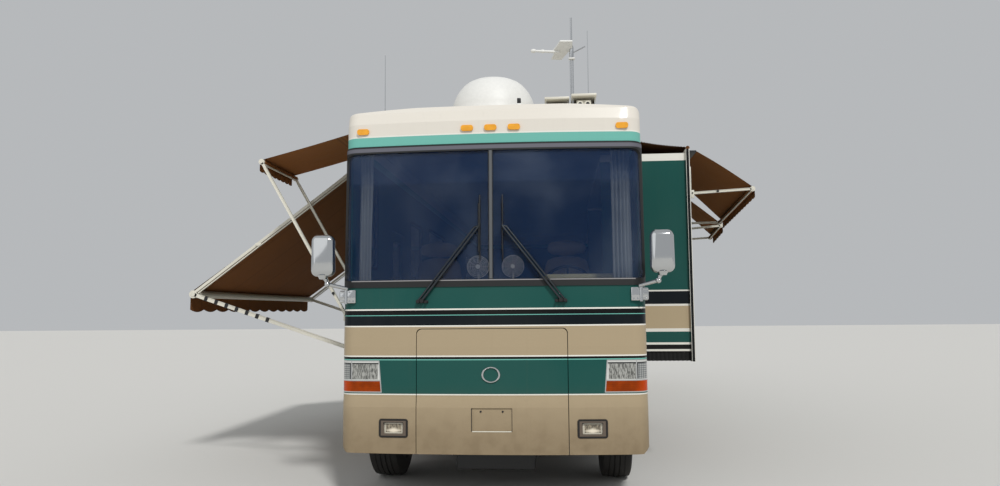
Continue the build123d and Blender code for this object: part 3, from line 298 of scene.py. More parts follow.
def headLens(name):  # fluted lens in a bright rim
    h, f = headLook, fogLook
    t = Tree(name)
    x, _, z = t.axes()
    out, head, low = abs(x), z > h["over"], z < h["over"]
    flute, rows = t.wave(0.0085, "X"), t.wave(0.020, "Z")
    streak = t.span(t.noise(1.0, 4.0, t.coords((170, 1, 34))), 0.38, 0.62)
    squares = t.span(t.wave(0.017, "X") * 0.5 + t.wave(0.017, "Z") * 0.5, 0.35, 0.75)
    lens = t.mix(streak * 0.8 + flute * 0.2, "#42433f", "#b0b0aa")
    colour = t.mix((out > h["joint"][1]) * head, lens, t.mix(squares, "#65686a", "#a5a7a3"))
    colour = t.mix(within(out, h["joint"]), colour, "#25282a")
    rim = (out < h["inner"]) + (z > h["lens"][1]) + (z < h["lens"][0])
    colour = t.mix(rim * head, colour, "#cfcfca")
    colour = t.mix(within(z, h["shadow"]), colour, "#1d1f21")
    # a painted highlight in the fog lamp's lens, a little under its middle
    fogHighlight = t.span(abs(out - f["x"]) + abs(z - f["fogHighlightZ"]) * 3, 0.02, 0.10, 1.0, 0.0)
    fog = t.mix(fogHighlight, t.mix(streak, "#544c40", "#a1957f"), "#ece1cb")
    edge = (abs(out - f["x"]) > f["lens"][0]) + (abs(z - f["z"]) > f["lens"][1])
    colour = t.mix(low, colour, t.mix(edge * low, fog, "#c9c3b2"))
    return t.surface(Base_Color=colour, Roughness=0.12 + streak * 0.1, Coat_Weight=0.5, Coat_Roughness=0.03,
                     Normal=t.bump(flute + rows * 0.5, 0.3, 0.002))


def colourLens(name, colour, dark=0.62, outer=0.0):  # outer: how much brighter it is round the corner
    t = Tree(name)
    flute, rows = t.wave(0.010, "X"), t.wave(0.014, "Z")
    cells = t.span(flute * 0.6 + rows * 0.4, 0.2, 0.9)
    broad = t.span(t.noise(14.0, 2.0), 0.35, 0.7)
    base = t.mix(cells * 0.5 + broad * 0.5, toned(colour, dark), toned(colour, 1.15))
    # outer sets a painted highlight round the lens's outer corner, in a bright orange
    base = t.mix(t.span(abs(t.axes()[0]), 1.15, 1.26, 0.0, outer), base, "#e04a08")
    return t.surface(Base_Color=base, Roughness=0.14 + cells * 0.1, Specular_IOR_Level=0.1, Coat_Weight=0.06,
                     Coat_Roughness=0.03, Normal=t.bump(flute + rows * 0.5, 0.3, 0.003))


def fogTrim(name):  # dark outer frame, tan inner step, dark rim
    f = fogLook
    t = Tree(name)
    x, _, z = t.axes()
    across, rise = abs(abs(x) - f["x"]), abs(z - f["z"])
    step = (across < f["step"][0]) * (rise < f["step"][1])
    rim = (across < f["rim"][0]) * (rise < f["rim"][1]) * (z > f["rimOver"])
    colour = t.mix(rim, t.mix(step, "#15100c", "#5f5347"), "#15110d")
    return t.surface(Base_Color=colour, Roughness=0.4 + t.noise(300.0, 2.0) * 0.2)


# dark bands beside the wall that are painted shade of the pleats there, painted shade on the cover over the
# slide, and the small awnings made lighter, a painted light
clothLook = {"rail": (1.26, 1.43), "railOver": 2.95, "band": 0.036, "cover": (1.25, 1.895), "coverOver": 3.17,
             "kerb": -1.3, "kerbBefore": 1.23, "driver": 1.9, "smallLit": 1.9}


def weave(name, colour, pitch=0.0016, fade=0.15):
    c = clothLook
    t = Tree(name)
    warp = t.wave(pitch, "Y", 0.6)
    weft = t.wave(pitch, "DIAGONAL", 0.6)
    broad = t.noise(1.4, 4.0)
    base = t.mix(t.span(broad, 0.3, 0.7, 0.0, fade), colour, toned(colour, 1.8))
    base = t.mix(t.span(t.wave(0.62, "Y"), 0.985, 1.0, 0.0, 0.35), base, toned(colour, 0.5))  # seams
    if name == "awning_cloth":
        x, y, z = t.axes()
        # painted shade: dark bands in the cloth beside the rail, for the shadows of its pleats
        rail = within(abs(x), c["rail"]) * (z > c["railOver"])
        base = t.mix(rail * (t.wave(c["band"], "X") > 0.5) * 0.85, base, "#0e0b09")
        # painted shade on the cover over the slide, seen from below
        base = t.mix(within(x, c["cover"]) * (z > c["coverOver"]) * 0.6, base, "#1c140e")
        # painted light: the small awnings are made lighter than the patio awning
        small = (x < c["kerb"]) * (y < c["kerbBefore"]) + (x > c["driver"])
        base = t.mix(small * 0.5, base, toned(colour, c["smallLit"]))
    thread = t.mix((warp * 0.5 + weft * 0.5) * 0.35, base, toned(colour, 0.6))
    return t.surface(Base_Color=thread, Roughness=0.84 + broad * 0.1, Specular_IOR_Level=0.2,
                     Normal=t.bump(warp + weft, 0.25, 0.0008))


materials = [
    stripedPaint("coach_paint", coachStripes, "tan", stripeRise["rise"]),
    stripedPaint("slide_paint", slideStripes, "tray"),
    plain("roof_skin", "#d9d4c8", 0.45, 30.0),
    plain("white_arm", "#d8d4c6", 0.38, 90.0),
    plain("white_shell", "#e4e3de", 0.5, 40.0, depth=0.03, vary=0.06),
    plain("black_metal", "#141517", 0.45, 120.0, depth=0.1),
    brightMetal("wiper_steel", "#45494d", 0.30),
    plain("chassis_black", "#161617", 0.62, 45.0, depth=0.3, vary=0.4),
    plain("black_rubber", "#101112", 0.55, 200.0),
    plain("under_slide_shade", "#060606", 0.85, 200.0),
    gasketRubber("gasket_rubber"),
    plain("axle_iron", "#262423", 0.7, 30.0, metal=0.3, depth=0.5, vary=0.5),
    tyreRubber("tyre_rubber"),
    brightMetal("chrome", "#cfd1d2", 0.10),
    brightMetal("polished_alloy", "#bfc1c3", 0.22, 0.1),
    # the windshield's blue tint is partly a painted sky reflection
    glass("windshield_glass", "#1a3256", 0.30, 0.32),
    brightMetal("mirror_glass", "#b9c1c6", 0.03),
    glass("side_glass", "#0a0c0f", 0.84, 0.05),
    headLens("lamp_clear"),
    colourLens("lamp_amber", "#f7ab3c", 0.8),
    colourLens("lamp_turn", "#983a01", 0.6, 0.5),
    colourLens("lamp_red", "#a31512"),
    fogTrim("fog_trim"),
    weave("awning_cloth", "#7d4f28"),
    weave("curtain_cloth", "#a3a9aa", 0.001, 0.05),
    plain("seat_leather", "#8c7f6c", 0.5, 130.0, depth=0.25),
    plain("dash_skin", "#6d6a5f", 0.6, 260.0, depth=0.2),
    plain("dash_hood", "#b9b48c", 0.6, 260.0, depth=0.2),
    plain("floor_board", "#6a543c", 0.6, 20.0, depth=0.2, vary=0.3),
]
# where the CAD has a material of the same name, Blender numbers the new one
finish = {material.name.split(".")[0]: material for material in materials}
# the finish of each CAD node that is shown
nodeFinish = {
    "coach_paint": ["front_cap", "front_access_panel", "wall_driver_side", "wall_kerb_side", "rear_cap",
                   "engine_hatch", "entry_door"]
    + [f"bay_door_{side}_{i}" for side in ("left", "right") for i in (1, 2, 3)],
    "slide_paint": ["slide_room"],
    "roof_skin": ["roof"],
    "white_shell": ["roof_units"],
    "black_rubber": ["side_window_frames", "slide_window_frames"],
    "gasket_rubber": ["windshield_frame"],
    "windshield_glass": ["windshield"],
    "side_glass": ["side_glass", "slide_glass", "entry_door_glass"],
    "lamp_clear": ["headlamps"],
    "lamp_amber": ["marker_lamps"],
    "lamp_red": ["tail_lamps"],
    "chrome": ["lamp_frames"],
    "polished_alloy": ["ladder", "front_rim_left", "front_rim_right", "rear_rims_left", "rear_rims_right"],
    "chassis_black": ["chassis"],
    "axle_iron": ["engine", "front_axle", "rear_axle", "knuckle_left", "knuckle_right"],
    "floor_board": ["floor"],
}
for key, names in nodeFinish.items():
    for name in names:
        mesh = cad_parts[name].data
        mesh.materials.clear()
        mesh.materials.append(finish[key])


def secondFinish(node, key, test):  # another finish on the faces of a CAD node that pass a test
    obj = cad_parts[node]
    obj.data.materials.append(finish[key])
    for face in obj.data.polygons:
        if test(obj.matrix_world @ face.center):
            face.material_index = 1


secondFinish("lamp_frames", "fog_trim", lambda p: p.z < headLook["over"])
secondFinish("marker_lamps", "lamp_turn", lambda p: p.z < 1.5)  # the turn lamps
secondFinish("slide_window_frames", "awning_cloth", lambda p: p.z > 3.0)  # the cover's roller
print("finishes set")

# making pieces
sides = (("left", 1), ("right", -1))
xAxis, yAxis, zAxis = Vector((1, 0, 0)), Vector((0, 1, 0)), Vector((0, 0, 1))


def addObject(name, data):
    obj = bpy.data.objects.new(name, data)
    bpy.context.scene.collection.objects.link(obj)
    return obj


def addMesh(name, bm, material):
    mesh = bpy.data.meshes.new(name)
    bm.to_mesh(mesh)
    bm.free()
    mesh.materials.append(material)
    return addObject(name, mesh)


def piece(name, bm, key, body="coach", sharp=35.0, replaces=()):
    obj = addMesh(name, bm, finish[key])
    obj.data.polygons.foreach_set("use_smooth", [True] * len(obj.data.polygons))
    obj.data.set_sharp_from_angle(angle=math.radians(sharp))
    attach(obj, body)
    if replaces:
        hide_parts(*replaces)
    return obj


def at(point):  # a tuple is a place in the coach frame, a vector is placed already
    return point if isinstance(point, Vector) else place(*point)


def box(bm, low, high, soften=0.0, steps=2, turn=None):
    low, high = at(low), at(high)
    size = Vector(abs(a - b) for a, b in zip(high, low))
    matrix = Matrix.Translation((low + high) / 2) @ (turn or Matrix()) @ Matrix.Diagonal(size.to_4d())
    verts = bmesh.ops.create_cube(bm, size=1.0, matrix=matrix)["verts"]
    if soften:
        edges = list({e for v in verts for e in v.link_edges})
        made = bmesh.ops.bevel(bm, geom=edges, offset=soften, segments=steps, affect="EDGES", profile=0.5,
                               material=-1, clamp_overlap=True)
        verts = list({v for f in made["faces"] for v in f.verts})
    return verts


def block(bm, centre, size, soften, steps=2):  # a box about its centre
    return box(bm, at(centre) - Vector(size) / 2, at(centre) + Vector(size) / 2, soften, steps)


def sideBox(bm, side, out, y, z, soften=0.002, steps=2, face=half):  # spans are pairs, out starts at the face
    (x0, x1), (y0, y1), (z0, z1) = out, y, z
    box(bm, (side * (face + x0), y0, z0), (side * (face + x1), y1, z1), soften, steps)


def beam(bm, start, end, width, thick, soften=0.002, shift=0.0):  # a flat bar between (x, z) ends at one y
    (xa, y, za), (xb, _, zb) = start, end
    run = Vector((xb - xa, 0, zb - za))
    up = Vector((-run.z, 0, run.x)).normalized()
    middle = Vector(((xa + xb) / 2, y, (za + zb) / 2)) + up * shift * (1 if up.z > 0 else -1)
    turn = Matrix.Rotation(-math.atan2(run.z, run.x), 4, "Y")
    size = Vector((run.length, thick, width)) / 2
    box(bm, middle - size, middle + size, soften, 1, turn)


def rod(bm, start, end, radius, sides=16, endRadius=None):
    start, end = at(start), at(end)
    run = end - start
    turn = run.to_track_quat("Z", "Y").to_matrix().to_4x4()
    bmesh.ops.create_cone(
        bm, cap_ends=True, cap_tris=False, segments=sides, radius1=radius,
        radius2=radius if endRadius is None else endRadius, depth=run.length,
        matrix=Matrix.Translation((start + end) / 2) @ turn)


def pin(bm, axis, centre, start, end, radius, sides=16, endRadius=None):  # a rod along an axis, past a centre
    rod(bm, at(centre) + axis * start, at(centre) + axis * end, radius, sides, endRadius)


def ball(bm, centre, radius, stretch=(1, 1, 1)):
    bmesh.ops.create_uvsphere(
        bm, u_segments=24, v_segments=12, radius=radius,
        matrix=Matrix.Translation(at(centre)) @ Matrix.Diagonal(Vector(stretch).to_4d()))


def ring(bm, outline, centre, axis, steps):  # an outline of (out, along) points turned about an axis
    side = axis.orthogonal().normalized()
    verts = [bm.verts.new(at(centre) + side * out + axis * along) for out, along in outline]
    edges = [bm.edges.new((a, b)) for a, b in zip(verts, verts[1:] + verts[:1])]
    bmesh.ops.spin(bm, geom=verts + edges, cent=at(centre), axis=axis, angle=math.tau, steps=steps,
                   use_merge=True, use_duplicate=False)


def hoop(bm, centre, axis, radius, thick, steps, sides=8):  # a round wire ring
    turns = [math.tau * i / sides for i in range(sides)]
    ring(bm, [(radius + thick * math.cos(a), thick * math.sin(a)) for a in turns], centre, axis, steps)


def newVerts(made):
    return [g for g in made["geom"] if isinstance(g, bmesh.types.BMVert)]


def prism(bm, corners, along):  # an outline in the coach frame, given thickness
    face = bm.faces.new([bm.verts.new(place(*corner)) for corner in corners])
    for v in newVerts(bmesh.ops.extrude_face_region(bm, geom=[face])):
        v.co += Vector(along)


def tidy(bm):
    bmesh.ops.remove_doubles(bm, verts=bm.verts, dist=0.0001)
    bmesh.ops.recalc_face_normals(bm, faces=bm.faces)


# tyres: rounded shoulders, rib tread and ringed sidewalls
tyre = {"ribs": 5, "grooveDepth": 0.012, "grooveWidth": 0.011, "crown": 0.004, "bead": 0.292, "width": 0.28,
        "treadShare": 0.80, "single": 0.4, "steps": 96}


def tyreOutline(h, radius, bead):  # h: half the width
    wall = [(bead, 0.80), (bead + 0.02, 0.88), (bead + 0.055, 0.965), (bead + 0.060, 0.985),
            (bead + 0.072, 0.985), (bead + 0.077, 0.975), (bead + 0.11, 1.0), (radius - 0.075, 0.985),
            (radius - 0.045, 0.955), (radius - 0.030, 0.925), (radius - 0.012, 0.86)]
    inner = [(bead + 0.012, 0.6), (bead + 0.10, 0.88), (radius - 0.05, 0.82), (radius - 0.03, 0.6)]
    face, low, groove = h * tyre["treadShare"], radius - tyre["grooveDepth"], tyre["grooveWidth"]
    tread = []
    for i in range(tyre["ribs"]):
        start, end = [face * (2 * n / tyre["ribs"] - 1) for n in (i, i + 1)]
        crown = radius - tyre["crown"] * abs(i - tyre["ribs"] // 2)
        tread += [(crown, start + groove / 2), (crown, end - groove / 2)]
        if i < tyre["ribs"] - 1:
            tread += [(low, end - groove / 3), (low, end + groove / 3)]
    near, lining = [[(out, -h * share) for out, share in side] for side in (wall, inner)]
    far, farLining = [[(out, -along) for out, along in side[::-1]] for side in (near, lining)]
    return near + tread + far + farLining[::-1] + lining[::-1]


def makeTyres(node, body):
    low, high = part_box(node)
    radius, middle, span = (high.z - low.z) / 2, (low + high) / 2, high.x - low.x
    width = min(tyre["width"], span)
    bm = bmesh.new()
    for x in [middle.x] if span < tyre["single"] else [low.x + width / 2, high.x - width / 2]:
        centre = Vector((x, middle.y, middle.z))
        ring(bm, tyreOutline(width / 2, radius, tyre["bead"]), centre, xAxis, tyre["steps"])
    tidy(bm)
    piece("tread_" + node, bm, "tyre_rubber", body, sharp=30.0, replaces=[node])


# wheel nuts and hub caps: where they start, from the front rim's middle or the rear rim's outer side
hub = {"nutCircle": 0.1429, "nuts": 10, "nutRadius": 0.019, "nutLength": 0.034, "washer": (-0.004, 0.008),
       "front": {"rim": "front_rim_", "wheel": "front_wheel_", "face": 0.048, "nose": 0.108, "cap": 0.066},
       "rear": {"rim": "rear_rims_", "wheel": "rear_wheels_", "face": -0.165, "nose": -0.043, "cap": 0.105}}


def makeHub(tag, sign, end):
    h = hub[end]
    along = xAxis * sign
    low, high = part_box(h["rim"] + tag)
    middle = (low + high) / 2
    if end == "rear":
        middle.x = high.x if sign > 0 else low.x
    face, nose, cap = middle + along * h["face"], middle + along * h["nose"], h["cap"]
    bm = bmesh.new()
    for i in range(hub["nuts"]):
        turn = math.tau * i / hub["nuts"]
        nut = face + Vector((0, math.cos(turn), math.sin(turn))) * hub["nutCircle"]
        pin(bm, along, nut, *hub["washer"], hub["nutRadius"] * 1.25)
        pin(bm, along, nut, 0.0, hub["nutLength"], hub["nutRadius"], 6)
    outline = [(0.0001, 0.032), (cap * 0.55, 0.028), (cap * 0.9, 0.012), (cap, 0.0), (0.0001, 0.0)]
    ring(bm, [(out, rise * sign) for out, rise in outline], nose, xAxis, 40)
    tidy(bm)
    piece("hub_%s_%s" % (end, tag), bm, "chrome", h["wheel"] + tag, sharp=40.0)


for tag, sign in sides:
    makeTyres("front_tyre_" + tag, "front_wheel_" + tag)
    makeTyres("rear_tyres_" + tag, "rear_wheels_" + tag)
    makeHub(tag, sign, "front")
    makeHub(tag, sign, "rear")
print("wheels made")

# awnings: cloth, valance, roller, arms and brackets
# near and far: the heights of the roller and of the arm's foot at the front and rear ends
smallAwning = {"radius": 0.024, "arm": 0.024, "rafter": 0, "valance": 0.088, "scallop": 0.12}
awnings = {
    "patio_awning": {"side": -1, "face": 1.275, "front": 1.240, "length": 3.690, "out": 1.880, "rail": 3.175,
                     "case": 0.016, "near": (1.738, 1.110), "far": (1.738, 1.110), "radius": 0.038,
                     "arm": 0.038, "rafter": 3.130, "valance": 0.185, "sag": 0.030, "scallop": 0.30},
    "window_awning": {**smallAwning, "side": -1, "face": 1.275, "front": 0.310, "length": 0.900, "out": 0.812,
                      "rail": 3.125, "case": 0.016, "near": (2.895, 1.515), "far": (2.895, 1.515),
                      "sag": 0.006, "scallop": 0.11},
    "slide_awning_1": {**smallAwning, "side": 1, "face": slideFace, "front": 1.500, "length": 1.620,
                       "out": 0.625, "rail": 3.143, "case": 0.080, "near": (2.744, 2.712),
                       "far": (2.592, 2.580), "sag": -0.012, "posts": (2.72, 2.985)},
    "slide_awning_2": {**smallAwning, "side": 1, "face": slideFace, "front": 3.190, "length": 0.700,
                       "out": 0.655, "rail": 3.040, "case": 0.080, "near": (2.561, 2.505),
                       "far": (2.477, 2.440), "sag": -0.006},
}
# pitch: from the wall to the arm's pin; wide: half the bracket's width; darkBands: their start and their
# pitch
arm = {"thick": 0.022, "margin": 0.036, "bracket": 0.045, "pitch": 0.027, "wide": 0.0154, "lap": 0.004,
       "darkBandCount": 7, "darkBands": (0.066, 0.058), "darkBandLength": 0.018}


def clothGrid(across, along, lay):  # a grid of unit size, each vertex laid by a rule
    bm = bmesh.new()
    bmesh.ops.create_grid(bm, x_segments=across, y_segments=along, size=0.5)
    for v in bm.verts:
        v.co = lay(v.co.x + 0.5, v.co.y + 0.5)
    bmesh.ops.recalc_face_normals(bm, faces=bm.faces)
    return bm


def rollerZ(a, u):  # its height, from the front end to the rear end
    return a["near"][0] + (a["far"][0] - a["near"][0]) * u


def makeAwningCloth(name, a, body, clothNode, frameNode):
    side, span = a["side"], a["length"] - 2 * arm["margin"]
    edge, reach, top = a["face"] + a["case"], a["face"] + a["out"], a["rail"] + 0.009

    def layCloth(u, v):
        z, lift = rollerZ(a, u), a["radius"] + 0.0025
        slope = math.atan2(top - z, reach - edge)
        x1, z1 = reach + lift * math.sin(slope), z + lift * math.cos(slope)
        hang = a["sag"] * math.sin(math.pi * v) * (1 - 0.35 * math.cos(math.tau * u * 3) * v)
        ripple = 0.004 * math.sin(math.tau * u * 5 + 1.3) * v * (1 - v)
        return place(side * (edge + (x1 - edge) * v), a["front"] + arm["margin"] + span * u,
                     top + (z1 - top) * v - hang + ripple)

    sheet = piece(name + "_cloth", clothGrid(60, 24, layCloth), "awning_cloth", body, sharp=60.0,
                  replaces=[clothNode])
    across = (layCloth(0.5, 1) - layCloth(0.5, 0)).length
    count = max(3, round(span / a["scallop"]))

    def layValance(u, v):
        turn = u * count
        drop = a["valance"] * (0.86 + 0.14 * abs(math.sin(math.pi * turn))) * v
        swing = 0.003 * math.sin(math.tau * turn + 0.6) * v
        return place(side * (reach + a["radius"] + 0.003 + swing), a["front"] + arm["margin"] + span * u,
                     rollerZ(a, u) + 0.004 - drop)

    hem = piece(name + "_valance", clothGrid(count * 10, 4, layValance), "awning_cloth", body, sharp=60.0)
    span * a["valance"] * 0.95


def addArm(bm, dark, a, y, start, end):  # from the roller to its bracket on the wall
    side, face, thick, wide = a["side"], a["face"], arm["thick"], arm["wide"]

    def plate(out, wide, low, high, soften):  # a plate that stands out from the wall
        sideBox(bm, side, (0, out), (y - wide, y + wide), (low, high), soften, face=face)

    pin(bm, yAxis, start, -thick / 2, thick / 2, a["radius"] + 0.002, 28)
    pin(bm, yAxis, start, -thick / 2 - arm["lap"], -thick / 2, a["radius"] * 0.6, 20)
    beam(bm, start, end, a["arm"], thick)
    for s in (-1, 1):  # the arm's two flanges stand proud of its web
        beam(bm, start.lerp(end, 0.04), start.lerp(end, 0.97), a["arm"] * 0.16, thick + 0.008, 0.001,
             s * a["arm"] * 0.42)
    plate(arm["bracket"], wide, end.z - 0.050, end.z + 0.030, 0.004)
    pin(dark, yAxis, end, -wide - arm["lap"], wide + arm["lap"], 0.008, 12)
    knob = start.lerp(end, 0.58 if side > 0 else 0.86)
    pin(dark, yAxis, knob, -thick / 2 - 0.016, thick / 2, 0.012, 14)
    if a["rafter"]:
        top = place(side * (face + 0.014), y, a["rafter"])
        beam(bm, start, top, 0.028, thick - 0.004, 0.002, 0.006)
        beam(bm, start.lerp(top, 0.02), start.lerp(top, 0.96), 0.011, thick - 0.006, 0.001, -0.022)
        plate(0.028, 0.012, top.z - 0.060, top.z + 0.020, 0.003)
        block(bm, start.lerp(top, 0.36) - zAxis * 0.003, (0.060, 0.028, 0.030), 0.004)


def makeAwningFrame(name, a, body, frameNode):
    side, face, rail, thick = a["side"], a["face"], a["rail"], arm["thick"]
    y0, y1, radius = a["front"], a["front"] + a["length"], a["radius"] - 0.001
    rollerX, footX = side * (face + a["out"]), side * (face + arm["pitch"])
    bm, dark, wound = bmesh.new(), bmesh.new(), bmesh.new()
    tube = [place(rollerX, y0 + thick, rollerZ(a, 0)), place(rollerX, y1 - thick, rollerZ(a, 1))]
    rod(bm if a["rafter"] else wound, *tube, radius, 28)
    ends = [(y, place(rollerX, y, z), place(footX, y, foot))
            for y, (z, foot) in ((y0 + thick / 2, a["near"]), (y1 - thick / 2, a["far"]))]
    for spots in ends:
        addArm(bm, dark, a, *spots)
    if a["rafter"]:  # dark bands across the front arm
        _, start, end = ends[0]
        for i in range(arm["darkBandCount"]):
            share = arm["darkBands"][0] + arm["darkBands"][1] * i
            beam(dark, start.lerp(end, share), start.lerp(end, share + arm["darkBandLength"]), a["arm"] + 0.008,
                 thick + 0.010)
    else:  # the roller is wound with cloth and has a pale bar under it
        low = Vector((-side * 0.012, 0, -a["radius"] + 0.004))
        rod(bm, tube[0] + low, tube[1] + low, 0.009, 12)
    sideBox(bm if side < 0 else dark, side, (0, a["case"]), (y0, y1), (rail - 0.013, rail + 0.008), 0.003,
            face=face)
    if "posts" in a:
        for y in (y0 + 0.004, y1 - 0.026):
            sideBox(bm, side, (0, 0.020), (y, y + 0.022), a["posts"], 0.003, face=face)
    piece(name + "_arms", bm, "white_arm", body, sharp=40.0, replaces=[frameNode])
    piece(name + "_knobs", dark, "black_metal", body, sharp=40.0)
    if a["rafter"]:
        wound.free()
    else:
        piece(name + "_roll", wound, "awning_cloth", body, sharp=40.0)


for name, a in awnings.items():
    body, clothNode, frameNode = "coach", name + "_fabric", name + "_frame"
    if a["side"] > 0:
        body, clothNode, frameNode = "slide_out_room", "slide_awning_fabric", "slide_awning_frames"
    makeAwningCloth(name, a, body, clothNode, frameNode)
    makeAwningFrame(name, a, body, frameNode)
print("awnings made")

# the slide-out's cover, from the wall rail to its roller; its front hem droops in small scallops
topper = {"front": 1.505, "back": 5.255, "wall": (1.262, 3.3035), "roller": (1.884, 3.2015), "sag": 0.014,
          "lip": 0.016, "scallop": 0.004, "scallops": 22}


def makeTopper():
    t = topper
    (wallX, wallZ), (rollerX, rollerZ) = t["wall"], t["roller"]
    length = t["back"] - t["front"]

    def lay(u, v):
        drop = t["sag"] * math.sin(math.pi * v)
        if u < 0.001:
            drop += t["lip"] + t["scallop"] * math.sin(math.tau * v * t["scallops"])
        return place(wallX + (rollerX - wallX) * v, t["front"] + length * max(0.0, u - 0.001),
                     wallZ + (rollerZ - wallZ) * v - drop)

    sheet = piece("topper_cloth", clothGrid(40, 88, lay), "awning_cloth", sharp=60.0,
                  replaces=["topper_fabric"])
    run = (lay(0.5, 1) - lay(0.5, 0)).length
    tuple(lay(0, 0))
    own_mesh(sheet)


# near-black folded bellows under the slide-out's floor, a dark piece for the shadow under the slide: painted
# shade
bellows = {"near": (1.2765, 1.490, 1.034), "far": (1.8535, 5.270, 1.129), "folds": 14, "depth": 0.005}


def makeBellows():
    near, far = place(*bellows["near"]), place(*bellows["far"])
    count, depth = bellows["folds"] * 2, bellows["depth"]
    step = (far.x - near.x) / count
    bm = bmesh.new()
    box(bm, near, far)
    long = [e for e in bm.edges if abs(e.verts[0].co.x - e.verts[1].co.x) > step]
    bmesh.ops.subdivide_edges(bm, edges=long, cuts=count - 1, use_grid_fill=True)
    for v in bm.verts:
        if round((v.co.x - near.x) / step) % 2:  # every second ring is drawn in
            v.co.y += depth if v.co.y < (near.y + far.y) / 2 else -depth
            v.co.z += depth / 3 if v.co.z < (near.z + far.z) / 2 else 0.0
    folded = piece("slide_shade_bellows", bm, "under_slide_shade", sharp=20.0)
    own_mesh(folded)


makeTopper()
makeBellows()

# mirrors: bright heads on bent arms; glass: the low and high edges of the two panes, from the head's bottom
mirror = {"x": 1.390, "y": -0.060, "bottom": 1.838, "width": 0.205, "height": 0.345, "depth": 0.12,
          "glass": ((0.026, 0.110, 0.317), (0.030, 0.030, 0.100)), "foot": (1.218, 0.052, 1.738),
          "elbow": (1.356, -0.050, 1.775), "bracketZ": 1.672, "bracketHalf": 0.056, "hingeX": 1.229}


def makeMirror(tag, sign):
    m = mirror
    reach = Vector((m["width"], m["depth"], m["height"])) / 2
    middle = place(sign * m["x"], m["y"], m["bottom"]) + zAxis * reach.z
    low, high = middle - reach, middle + reach
    bm = bmesh.new()
    for v in box(bm, low, high, 0.050, 7):
        up = (v.co.z - low.z) / m["height"]
        tighten = 0.84 + 0.16 * math.sin(math.pi * min(1.0, up * 0.8 + 0.14))
        v.co.x = middle.x + (v.co.x - middle.x) * tighten
        bulge = 1.0 if v.co.y > middle.y else 0.78 + 0.22 * math.sin(math.pi * up)
        v.co.y = middle.y + (v.co.y - middle.y) * bulge
    piece("mirror_head_" + tag, bm, "chrome", sharp=50.0, replaces=["mirrors"] if sign > 0 else [])
    bm = bmesh.new()
    for inset, z0, z1 in m["glass"]:
        box(bm, Vector((low.x + inset, high.y - 0.005, low.z + z0)),
            Vector((high.x - inset, high.y + 0.004, low.z + z1)), 0.003)
    piece("mirror_glass_" + tag, bm, "mirror_glass")
    bm = bmesh.new()
    foot, elbow = [place(sign * x, y, z) for x, y, z in (m["foot"], m["elbow"])]
    neck = Vector((middle.x, middle.y, low.z + 0.03))
    rod(bm, foot, elbow, 0.015, 20)
    ball(bm, elbow, 0.023)
    rod(bm, elbow, neck, 0.014, 20)
    pin(bm, zAxis, neck, -0.052, -0.020, 0.030, 24, 0.046)
    hoop(bm, elbow.lerp(neck, 0.4), zAxis, 0.016, 0.005, 20)
    piece("mirror_arm_" + tag, bm, "chrome", sharp=45.0)
    bm = bmesh.new()
    middleZ, tall = m["bracketZ"], m["bracketHalf"]
    z0, z1 = middleZ - tall, middleZ + tall
    sideBox(bm, sign, (1.147, 1.236), (0.062, 0.130), (z0, z1), 0.008, 3, face=0)
    sideBox(bm, sign, (1.222, 1.292), (0.075, 0.196), (z0 + 0.004, z1 - 0.004), 0.014, 4, face=0)
    pin(bm, zAxis, (sign * m["hingeX"], 0.066, middleZ), -tall - 0.006, tall + 0.020, 0.014, 20)
    for z in (middleZ - 0.038, middleZ, middleZ + 0.038):
        for x in (1.168, 1.200):
            pin(bm, yAxis, (sign * x, 0.062, z), 0.0, -0.006, 0.008, 6)
        sideBox(bm, sign, (1.240, 1.286), (0.068, 0.080), (z - 0.007, z + 0.007), 0.003, face=0)
    piece("mirror_bracket_" + tag, bm, "chrome", sharp=45.0)


# wipers: two rods from a three-knob base to an upright blade
wiper = {"pivot": (0.575, 1.631), "second": (0.609, 1.627), "tip": (0.099, 2.244), "low": 1.962,
         "high": 2.512, "off": 0.034, "clip": 0.10}


def makeWiper(tag, sign):
    off, low, high = wiper["off"], wiper["low"], wiper["high"]

    def on(x, z, away):
        return place(sign * x, skinY(x, z) - away, z)

    (x0, z0), (x1, z1), (x2, z2) = wiper["pivot"], wiper["second"], wiper["tip"]
    bm = bmesh.new()
    rod(bm, on(x0, z0, off), on(x2, z2, off + 0.004), 0.0110, 12, 0.009)
    rod(bm, on(x1, z1, off), on(x2 + 0.034, z2 - 0.004, off + 0.004), 0.0085, 12)
    rod(bm, on(x2 - 0.006, z2 + 0.004, off + 0.002), on(x2 + 0.040, z2 - 0.006, off + 0.002), 0.009, 12)
    piece("wiper_arms_" + tag, bm, "wiper_steel", replaces=["wipers"] if sign > 0 else [])
    bm = bmesh.new()
    for x, z, radius in ((x0, z0, 0.017), (x1, z1, 0.014), (x0 - 0.036, z0 - 0.008, 0.011)):
        rod(bm, on(x, z, -0.010), on(x, z, off + 0.012), radius, 18)
    box(bm, on(x0 - 0.050, z0 - 0.020, 0.012), on(x1 + 0.018, z0 + 0.004, 0.0), 0.003)
    clips = (low + wiper["clip"], high - wiper["clip"])
    rod(bm, on(x2, clips[0], 0.022), on(x2, clips[1], 0.022), 0.0055, 10)
    for z in (*clips, z2):
        box(bm, on(x2 - 0.006, z - 0.030, 0.024), on(x2 + 0.006, z + 0.030, 0.004), 0.002)
    box(bm, on(x2 - 0.004, low, 0.008), on(x2 - 0.004, high, 0.008) + Vector((0.008, 0.018, 0)), 0.001)
    piece("wiper_blade_" + tag, bm, "black_rubber")


for tag, sign in sides:
    makeMirror(tag, sign)
    makeWiper(tag, sign)

# front details: badge ring and plate recess
badge = {"x": -0.005, "z": 1.024, "radius": 0.069, "wire": 0.0085, "flatten": 0.86}
